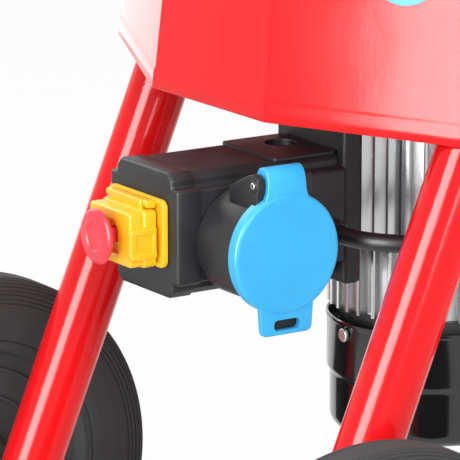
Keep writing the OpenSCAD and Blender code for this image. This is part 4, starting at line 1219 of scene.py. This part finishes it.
@dataclass
class SwitchBox:
    """The two-part moulded box between the motor and the switch."""

    mid_w: float = 76.0
    mid_h: float = 58.0
    neck_w: float = 62.0
    height: float = 76.0
    chamfer: float = 4.5
    wall: float = 2.5
    inlet_hole_r: float = 21.3
    inlet_hole: Pair = (20.0, 60.0)
    inlet_down: float = 5.0
    switch_hole: Pair = (44.0, 26.0)
    switch_x: float = -3.0
    recess_x: float = -7.0
    recess_back: float = 17.0
    corner_r: tuple[float, ...] = (2.4, 1.4, 2.2, 2.2, 2.2, 2.2, 1.4, 2.4)

    def outline(self) -> np.ndarray:
        """The plus-shaped outline about the box's middle.

        Returns:
            The corners, counter-clockwise.
        """
        w, h, n, t, c = self.mid_w / 2, self.mid_h / 2, self.neck_w / 2, self.height / 2, self.chamfer
        quarter = np.array([(w, h), (n, h), (n, t - c), (n - c, t)])
        upper = np.concatenate([quarter, quarter[::-1] * [-1, 1]])
        return np.concatenate([upper, -upper])

    def build(self) -> None:
        """Makes the cover with its openings, the pad with its recess, and the base."""
        f, s = (float(corner[1]) for corner in span("switch_box_cover"))
        base_low, base_high = span("switch_box_base")
        b0, b1 = float(base_low[1]), float(base_high[1])
        z = float(base_low[2] + base_high[2]) / 2
        corners, radius, t = self.outline() + [0, z], np.tile(self.corner_r, 2), self.wall
        rows = [(2.2, f), (1.2, f + 0.25), (0.4, f + 0.9), (0, f + 2), (0, f + 15), (0.35, f + 15.8),
                (1.1, f + 16.4), (1.1, s - 6), (0.6, s - 5), (0.6, s - 0.6), (1.0, s), (t, s),
                (t + 0.3, f + t + 3), (t + 1, f + t)]
        thing = Shell().extrude(corners, rows, radius, Along.Y).mesh_object("switch_box_cover_moulding")
        inlet_y = float(sum(span("inlet_lid"))[1]) / 2
        hole = rod(self.inlet_hole_r, *self.inlet_hole)
        carve(thing, Shell().revolve(hole, (inlet_y, z - self.inlet_down), Along.X, segments=48))
        window = rectangle(*self.switch_hole, (self.switch_x, z))
        carve(thing, Shell().extrude(window, straight(f - 3, f + 8), 1.0, Along.Y))
        install(thing, "switch_box_cover")
        top = z + self.height / 2
        pad_rows = [(0, top - 1.4), (0, top + 0.1), (0.3, top + 0.4), (0.8, top + 0.5)]
        pad = Shell().extrude(rectangle(self.neck_w - 2, b1 - s + 10, (0, (b1 + s - 12) / 2)), pad_rows, 3.0)
        recess = Shell().revolve([(0, top - 4), (8.6, top - 4), (9.6, top - 3), (9.9, top + 0.4),
                                  (10.5, top + 1.3), (10.5, top + 3), (0, top + 3)],
                                 (self.recess_x, s + self.recess_back), Along.Z, segments=48)
        install(carve(pad.mesh_object("switch_box_pad"), recess), body="frame", slot="black_plastic")
        rows = [(2.4, b0 + 0.2), (1.2, b0 + 0.2), (0.8, b0 + 0.8), (0.6, b0 + 5), (0.2, b0 + 5.6),
                (0, b0 + 7), (0, b1 - 1), (0.8, b1), (t, b1)]
        base = Shell().extrude(corners, rows, radius, Along.Y).mesh_object("switch_box_base_moulding")
        install(carve(base, recess), "switch_box_base")


@dataclass
class StopSwitch:
    """The yellow plate with its hinged flap and the red mushroom button."""

    plate_h: float = 41.0
    plate_t: float = 3.7
    start_dx: float = 14.0
    button_hole_r: float = 5.8
    flap_w: float = 48.0
    flap_h: float = 35.0
    wall: float = 2.0
    stem: float = 8.6
    pin_up: float = 3.2
    ear_x: float = 20.4
    barrel_half: float = 17.4
    pin_half: float = 22.0

    def __post_init__(self) -> None:
        """Reads the switch's place from its CAD nodes."""
        low, high = span("stop_button")
        self.x, self.z = (float(low[i] + high[i]) / 2 for i in (0, 2))
        self.button_r = float(high[0] - low[0]) / 2
        self.button_front, self.button_back = float(low[1]), float(high[1])
        self.pin_z = self.z + self.flap_h / 2 + self.pin_up

    def build(self) -> None:
        """Makes the plate, the flap and the mushroom, and rounds the inner parts' edges."""
        self.plate()
        self.flap()
        self.mushroom()
        soften(switch_block=0.6, stop_plunger=0.8, start_plunger=0.8)

    def plate(self) -> None:
        """The plate: round corners, a raised rim, two button holes and the flap's hinge ears."""
        low, high = span("switch_plate")
        back = float(high[1])
        front = back - self.plate_t
        middle = (self.x, float(low[2]) + self.plate_h / 2)
        rows = [(0.6, back), (0, back - 0.5), (0, front + 1.1), (0.35, front + 0.35), (1.1, front),
                (2.2, front), (2.8, front + 0.25), (3.2, front + 0.9), (6, front + 0.9)]
        plate = Shell().extrude(rectangle(float(high[0] - low[0]), self.plate_h, middle), rows, 5.0,
                                Along.Y, steps=8)
        holes = Shell()
        for dx in (0, self.start_dx):
            holes.revolve(rod(self.button_hole_r, front - 5, back + 5), (self.x + dx, self.z), Along.Y,
                          segments=40)
        install(carve(plate.mesh_object("switch_plate_moulding"), holes), "switch_plate", crease=28)
        ears = Shell()
        for middle_x in (self.x - self.ear_x, self.x + self.ear_x):
            ears.extrude(rectangle(6.6, 4.6, (front - 3.1, self.pin_z)),
                         rims(middle_x - 2.4, middle_x + 2.4, 0.5), 1.9, Along.X)
        ears.piece("switch_plate_ears", body="frame", slot="switch_yellow")

    def flap(self) -> None:
        """The flap: a hollow stepped block with a recess round the stem, a side latch and a hinge."""
        f, b = (float(corner[1]) for corner in span("switch_flap"))
        t, x, z = self.wall, self.x, self.z
        step = f + 8.5
        rows = [(3.2, f), (2.0, f + 0.3), (1.3, f + 1.0), (1.1, f + 2.2), (1.1, step - 0.4), (1.6, step),
                (1.6, step + 0.7), (0.9, step + 1.1), (0.2, step + 1.5), (0, step + 2.4), (0, b - 1.0),
                (0.5, b), (t + 0.3, b), (t + 1.2, f + 8.6), (t + 2.6, f + 7.2)]
        block = Shell().extrude(rectangle(self.flap_w, self.flap_h, (x, z)), rows, 3.4, Along.Y, steps=7)
        thing = block.mesh_object("switch_flap_moulding")
        notch = np.array([(-9.2, -11.0), (9.2, -11.0), (9.2, 4.0), (5.2, 9.6), (-5.2, 9.6), (-9.2, 4.0)])
        notch_rows = [(-0.6, f - 3), (-0.6, f + 0.4), (0, f + 1.2), (0.3, f + 4.6), (0.9, f + 5.2)]
        carve(thing, Shell().extrude(notch + [x, z], notch_rows, 2.0, Along.Y))
        hole = rectangle(self.stem + 1, self.stem + 1, (x, z))
        carve(thing, Shell().extrude(hole, straight(f - 3, f + 12), 1.2, Along.Y))
        install(thing, "switch_flap", crease=28)
        self.latch(f, b)
        self.hinge(b - 4.2)

    def latch(self, f: float, b: float) -> None:
        """The latch on the flap's side: a plate, two ribs across it and a bar at each end.

        Args:
            f: the flap's front.
            b: its back.
        """
        side, z, middle = self.x + self.flap_w / 2, self.z, (f + b) / 2
        shell = Shell()
        for size, centre, reach, rim, radius in (
                ((b - f - 0.6, 17), (middle - 0.3, z - 2), (3, 1.2), 0.8, 1.6),
                ((b - f - 0.4, 4.2), (middle - 0.6, z - 9.3), (2.6, 2.2), 0.7, 1.2),
                ((b - f - 0.4, 4.2), (middle - 0.6, z + 5.3), (2.6, 2.2), 0.7, 1.2),
                ((4.4, 16), (f + 1.0, z - 2), (3.2, 2.0), 0.7, 1.3),
                ((2.6, 15), (b - 2.2, z - 2), (2, 2.0), 0.6, 1.0)):
            shell.extrude(rectangle(*size, centre), rims(side - reach[0], side + reach[1], rim), radius,
                          Along.X)
        shell.piece("switch_flap_latch", body="switch_cover", slot="switch_yellow")

    def hinge(self, y: float) -> None:
        """The flap's hinge barrel with its neck, and its pin.

        Args:
            y: the hinge's place.
        """
        x, z, half = self.x, self.pin_z, self.barrel_half
        barrel = Shell().revolve(spool(0, 2.1, x - half, x + half, 0.4), (y, z), Along.X, segments=32)
        barrel.extrude(rectangle(34.6, 5.4, (x, y)), rims(z - 4.4, z + 2.2, 0.7), 1.2)
        barrel.piece("switch_flap_hinge", body="switch_cover", slot="switch_yellow")
        pin = Shell().revolve(rod(1.1, x - self.pin_half, x + self.pin_half), (y, z), Along.X, segments=24)
        pin.piece("switch_flap_pin", body="switch_cover", slot="zinc_steel")

    def mushroom(self) -> None:
        """The button: dished rim, a raised ring, a flat middle with raised dots, on a square shank."""
        y, r = self.button_front - 1.5, self.button_r
        profile = [(0, 1.3), (0.44, 1.3), (0.49, 0.9), (0.53, 0.1), (0.58, 0), (0.62, 0.35), (0.7, 0.75),
                   (0.84, 0.8), (0.93, 1.2), (0.975, 1.9), (1, 2.7), (0.985, 3.6), (0.93, 4.5), (0.8, 5.1),
                   (0.5, 5.4), (0, 5.4)]
        head = Shell().revolve([(share * r, y + back) for share, back in profile], (self.x, self.z),
                               Along.Y, segments=96)
        dot = [(0, y + 0.95), (0.3, y + 1.0), (0.5, y + 1.2), (0.55, y + 1.5), (0, y + 1.5)]
        for number, share in ((1, 0.0), (6, 0.17), (12, 0.34)):
            for centre in share * r * circle(number) + [self.x, self.z]:
                head.revolve(dot, tuple(centre), Along.Y, segments=10)
        head.piece("stop_button_head", "stop_button", crease=40)
        shank = Shell().extrude(rectangle(self.stem, self.stem, (self.x, self.z)),
                                rims(y + 5, self.button_back - 0.2, 0.5), 1.2, Along.Y)
        shank.piece("stop_button_shank", body=BODIES["stop_button"], slot="stop_red")


@dataclass
class PowerInlet:
    """The round inlet with its contacts, hinge lugs and sprung blue lid."""

    body_r: float = 33.0
    bore_r: float = 30.0
    neck_r: float = 21.0
    lid_r: float = 36.4
    lid_t: float = 4.0
    lug_t: float = 5.0
    hinge_w: float = 38.0
    skirt: float = 4.0
    contacts: int = 5
    contact_ring: float = 17.0

    def __post_init__(self) -> None:
        """Reads the inlet's place from its CAD nodes."""
        lid_low, lid_high = span("inlet_lid")
        self.x = float(lid_low[0]) + self.skirt
        self.y = float(lid_low[1] + lid_high[1]) / 2
        self.z = float(span("power_inlet")[0][2]) + self.body_r
        self.root = float(span("switch_box_base")[1][0]) - 1
        self.hinge = (self.x - 3.3, self.z + self.lid_r + 5)

    def build(self) -> None:
        """Makes the inlet and its contacts on the frame, and the lid on its own body."""
        self.body()
        self.lid()

    def body(self) -> None:
        """The round body, open at its mouth, with contact pins, a catch nose and two hinge lugs."""
        x0, x1, r, b, n = self.root, self.x - 0.3, self.body_r, self.bore_r, self.neck_r
        profile = [(0, x0 - 11.5), (n - 1, x0 - 11.5), (n, x0 - 10.5), (n, x0 + 0.4), (r - 0.6, x0 + 0.4),
                   (r, x0 + 1), (r, x1 - 1.6), (r - 0.4, x1 - 0.5), (r - 1.2, x1), (b + 0.8, x1),
                   (b, x1 - 0.9), (b, x0 + 15), (b - 1, x0 + 14), (0, x0 + 14)]
        shell = Shell().revolve(profile, (self.y, self.z), Along.X, segments=112)
        hx, hz = self.hinge
        foot = self.z + self.body_r - 7
        lug = np.array([(hx - 26, foot), (hx + 2.6, foot), (hx + 4.6, hz - 1), (hx + 4.2, hz + 4.4),
                        (hx - 0.6, hz + 6.4), (hx - 5.4, hz + 5.4), (hx - 26, foot + 11)])
        for y0 in (self.y - self.hinge_w / 2, self.y + self.hinge_w / 2 - self.lug_t):
            y1 = y0 + self.lug_t
            shell.extrude(lug, rims(y0, y1, 0.6), 1.6, Along.Y)
            boss = spool(2.1, 3.9, y0 - 0.7, y1 + 0.7, 0.4)
            shell.revolve(boss, (hx, hz), Along.Y, segments=32, wrap_rows=True)
        nose = rectangle(19, 18, (self.y + 3, self.z - r - 7))
        shell.extrude(nose, rims(x1 - 10, x1 - 0.6, 0.8), [4, 4, 1, 1], Along.X)
        shell.piece("power_inlet_body", "power_inlet")
        pins = Shell()
        pin = [(0, x0 + 13), (2.5, x0 + 13), (2.5, x0 + 37), (2.2, x0 + 38.2), (1.4, x0 + 39), (0, x0 + 39)]
        for u, v in self.contact_ring * circle(self.contacts):
            pins.revolve(pin, (self.y - v, self.z + u), Along.X, segments=24)
        pins.piece("inlet_contacts", body="frame", slot="zinc_steel")

    def lid(self) -> None:
        """The lid: a dished disc with a bevelled rim, a strap over the hinge and a flared pull tab."""
        x, y, z, r, s, t = self.x, self.y, self.z, self.lid_r, self.skirt, self.lid_t
        inner = self.body_r + 1
        rim = [(r - 2.6 + 2.6 * math.cos(a), x + 1.9 + 2.6 * math.sin(a))
               for a in np.linspace(0, np.pi / 2, 6)]
        profile = [(0, x), (inner, x), (inner, x - s), (inner + 0.5, x - s), (r - 0.4, x - s),
                   (r, x - s + 0.5), *rim, (r - 4.5, x + t + 0.4), (r * 0.5, x + t + 0.1), (0, x + t)]
        thing = Shell().revolve(profile, (y, z), Along.X, segments=128).mesh_object("inlet_lid_moulding")
        hx, hz = self.hinge
        up = hz - z
        half = self.hinge_w / 2 - self.lug_t - 1
        gap = rectangle(2 * half + 14, r, (y, z + r / 2 + 6))
        strap = np.array([(-half - 3.4, r - 7.5), (half + 3.4, r - 7.5), (half + 0.6, r + 0.5),
                          (half, up + 1.0), (-half, up + 1.0), (-half - 0.6, r + 0.5)]) + [y, z]
        curl = [(hx + 7.15 * math.cos(a), hz + 10.2 * math.sin(a)) for a in np.linspace(0, 2.75, 14)]
        roll = np.array([(x + 3.85, hz - 3), *curl, (hx - 4.2, hz - 1.5), (hx, hz - 4.4),
                         (x + 0.1, hz - 4.4)])
        tab = np.array([(-19.0, 9.0), (-17.6, -10.5), (-14.6, -12.0), (14.6, -12.0), (17.6, -10.5),
                        (19.0, 9.0)]) + [y, z - r]
        slot = rectangle(18, 6.4, (y, z - r - 6))
        for operation, cutter in (
                ("DIFFERENCE", Shell().extrude(gap, straight(x - s - 3, x), 0.5, Along.X)),
                ("UNION", Shell().extrude(strap, rims(x + 0.02, x + 3.9, 0.7), [2, 2, 6, 0.5, 0.5, 6],
                                          Along.X)),
                ("UNION", Shell().extrude(roll, rims(y - half, y + half, 0.7), 0.3, Along.Y, steps=2)),
                ("UNION", Shell().extrude(tab, rims(x + 0.05, x + 3.6, 0.8), [1, 4, 4, 4, 4, 1], Along.X)),
                ("DIFFERENCE", Shell().extrude(slot, straight(x - 6, x + 10), 2.6, Along.X))):
            carve(thing, cutter, operation)
        install(thing, "inlet_lid", crease=30)
        length = self.hinge_w / 2 + 1
        pin = Shell().revolve(spool(1.2, 2, y - length, y + length, 0.3), (hx, hz), Along.Y, segments=28,
                              wrap_rows=True)
        pin.piece("inlet_lid_pin", body="lid", slot="zinc_steel")


# ---- studio ----

@dataclass(frozen=True)
class Softbox:
    """One rectangular light, aimed at the middle of the machine.

    at is its place in metres, width and height its size, watts its power, and gloss_only makes it a light
    that shows only as a reflection.
    """

    name: str
    at: Triple
    width: float
    height: float
    watts: float
    gloss_only: bool = False
    aim: Triple = (0.0, -0.05, 0.35)

    def build(self) -> None:
        """Makes the light."""
        data = bpy.data.lights.new(self.name, "AREA")
        data.shape = "RECTANGLE"
        data.size = self.width
        data.size_y = self.height
        data.energy = self.watts
        thing = in_scene(self.name, data)
        thing.visible_camera = False
        thing.visible_diffuse = not self.gloss_only
        point(thing, self.at, self.aim)


SOFTBOXES = (
    Softbox("key", (0.42, -2.3, 0.85), 1.0, 1.7, 20),
    Softbox("side", (2.6, -0.7, 1.3), 1.0, 1.2, 50),
    Softbox("back", (-2.4, -0.6, 1.6), 1.2, 1.6, 24),
    Softbox("top", (0.2, -0.2, 2.9), 1.6, 1.6, 30),
    Softbox("gloss", (0.58, -2.32, 0.85), 1.25, 1.7, 120, gloss_only=True),
    Softbox("rim", (-2.2, 0.4, 0.4), 1.3, 0.8, 3.5, gloss_only=True),
)


def point(thing: Thing, at: Triple, aim: Triple) -> None:
    """Puts a lamp or a camera at a place and turns it towards another."""
    thing.location = at
    thing.rotation_euler = (Vector(aim) - Vector(at)).to_track_quat("-Z", "Y").to_euler()


@dataclass
class Studio:
    """The pale floor, the soft lights, the white surroundings and the camera."""

    camera_at: Triple = (1.9272, -1.4042, 0.8666)
    look_at: Triple = (-0.0302, -0.1314, 0.3110)
    lens: float = 307.4
    sensor: float = 36.0
    sight: float = 60.0
    floor_half: float = 14.0
    floor_tone: float = 0.82
    floor_white: float = 0.93
    ambient: float = 0.42

    def build(self) -> None:
        """Sets up everything that isn't part of the object."""
        scene = bpy.context.scene
        scene.view_settings.view_transform = "Standard"
        self.camera(scene)
        self.floor()
        self.surroundings(scene)
        for light in SOFTBOXES:
            light.build()

    def camera(self, scene: bpy.types.Scene) -> None:
        """The camera, level, looking down a little from the front right.

        Args:
            scene: the scene that it films.
        """
        data = bpy.data.cameras.new("camera")
        data.lens = self.lens
        data.sensor_width = self.sensor
        data.clip_end = self.sight
        thing = in_scene("camera", data)
        point(thing, self.camera_at, self.look_at)
        scene.camera = thing

    @staticmethod
    def seen(tree: Tree) -> Socket:
        """1 for camera, glossy and transmission rays, else 0.

        Args:
            tree: the tree that the nodes go in.

        Returns:
            The value's socket.
        """
        path = tree.nodes.new("ShaderNodeLightPath")
        first = maths(tree, "MAXIMUM", path.outputs["Is Camera Ray"], path.outputs["Is Glossy Ray"])
        return maths(tree, "MAXIMUM", first, path.outputs["Is Transmission Ray"])

    def floor(self) -> None:
        """A wide pale floor that looks near white to the camera and keeps the shadow."""
        mesh = bpy.data.meshes.new("floor")
        corners = rectangle(2 * self.floor_half, 2 * self.floor_half)
        mesh.from_pydata(to_space(corners, 0).tolist(), [], [(0, 1, 2, 3)])
        material = bpy.data.materials.new("pale_floor")
        material.use_nodes = True
        tree = material.node_tree
        shader = tree.nodes["Principled BSDF"]
        feed(tree, shader, Base_Color=(*(self.floor_tone,) * 3, 1), Roughness=0.9, Specular_IOR_Level=0.0)
        glow = tree.nodes.new("ShaderNodeEmission")
        feed(tree, glow, Color=(1, 1, 1, 1), Strength=1.0)
        mix = tree.nodes.new("ShaderNodeMixShader")
        white = maths(tree, "MULTIPLY", self.seen(tree), self.floor_white)
        for source, sink in zip((white, shader.outputs[0], glow.outputs[0]), mix.inputs):
            tree.links.new(source, sink)
        tree.links.new(mix.outputs[0], tree.nodes["Material Output"].inputs["Surface"])
        mesh.materials.append(material)
        in_scene("floor", mesh)

    def surroundings(self, scene: bpy.types.Scene) -> None:
        """A white world for the camera and reflections, and a dimmer one for the light it casts.

        Args:
            scene: the scene that it surrounds.
        """
        world = bpy.data.worlds.new("studio")
        scene.world = world
        world.use_nodes = True
        tree = world.node_tree
        strength = tree.nodes.new("ShaderNodeMapRange")
        feed(tree, strength, Value=self.seen(tree), To_Min=self.ambient, To_Max=1.0)
        feed(tree, tree.nodes["Background"], Color=(1, 1, 1, 1), Strength=strength.outputs[0])


def dress_frame() -> None:
    """Gives every CAD node that stays in view the finish of its material slot."""
    for name, thing in frame["nodes"].items():
        thing.data.materials.clear()
        thing.data.materials.append(FINISHES[SLOTS[name]].material())


def main() -> None:
    """Builds the machine and its studio."""
    logging.basicConfig(level=logging.INFO, format="%(name)s: %(message)s")
    dress_frame()
    pieces = [Studio(), MotorLead(), TubeFrame(), BladeHousing(), FeedHopper()]
    for side in ("left", "right"):
        pieces += [StarKnob(side), Wheel(side)]
    for piece in [*pieces, Motor(), SwitchBox(), StopSwitch(), PowerInlet()]:
        piece.build()
    soften(axle=0.8, axle_spacers=0.8, axle_washers=0.5, axle_cap_nuts=1.2, housing_bolts=0.7,
           counter_blade=0.5, discharge_chute=0.8, chute_flap=0.6, chute_flap_pin=0.5, hopper_hinge=0.8,
           hopper_hinge_pin=0.5, blade_disc=0.5, blades=0.2, blade_bolts=0.5, disc_retainer=0.8)


if __name__ == "__main__":
    main()
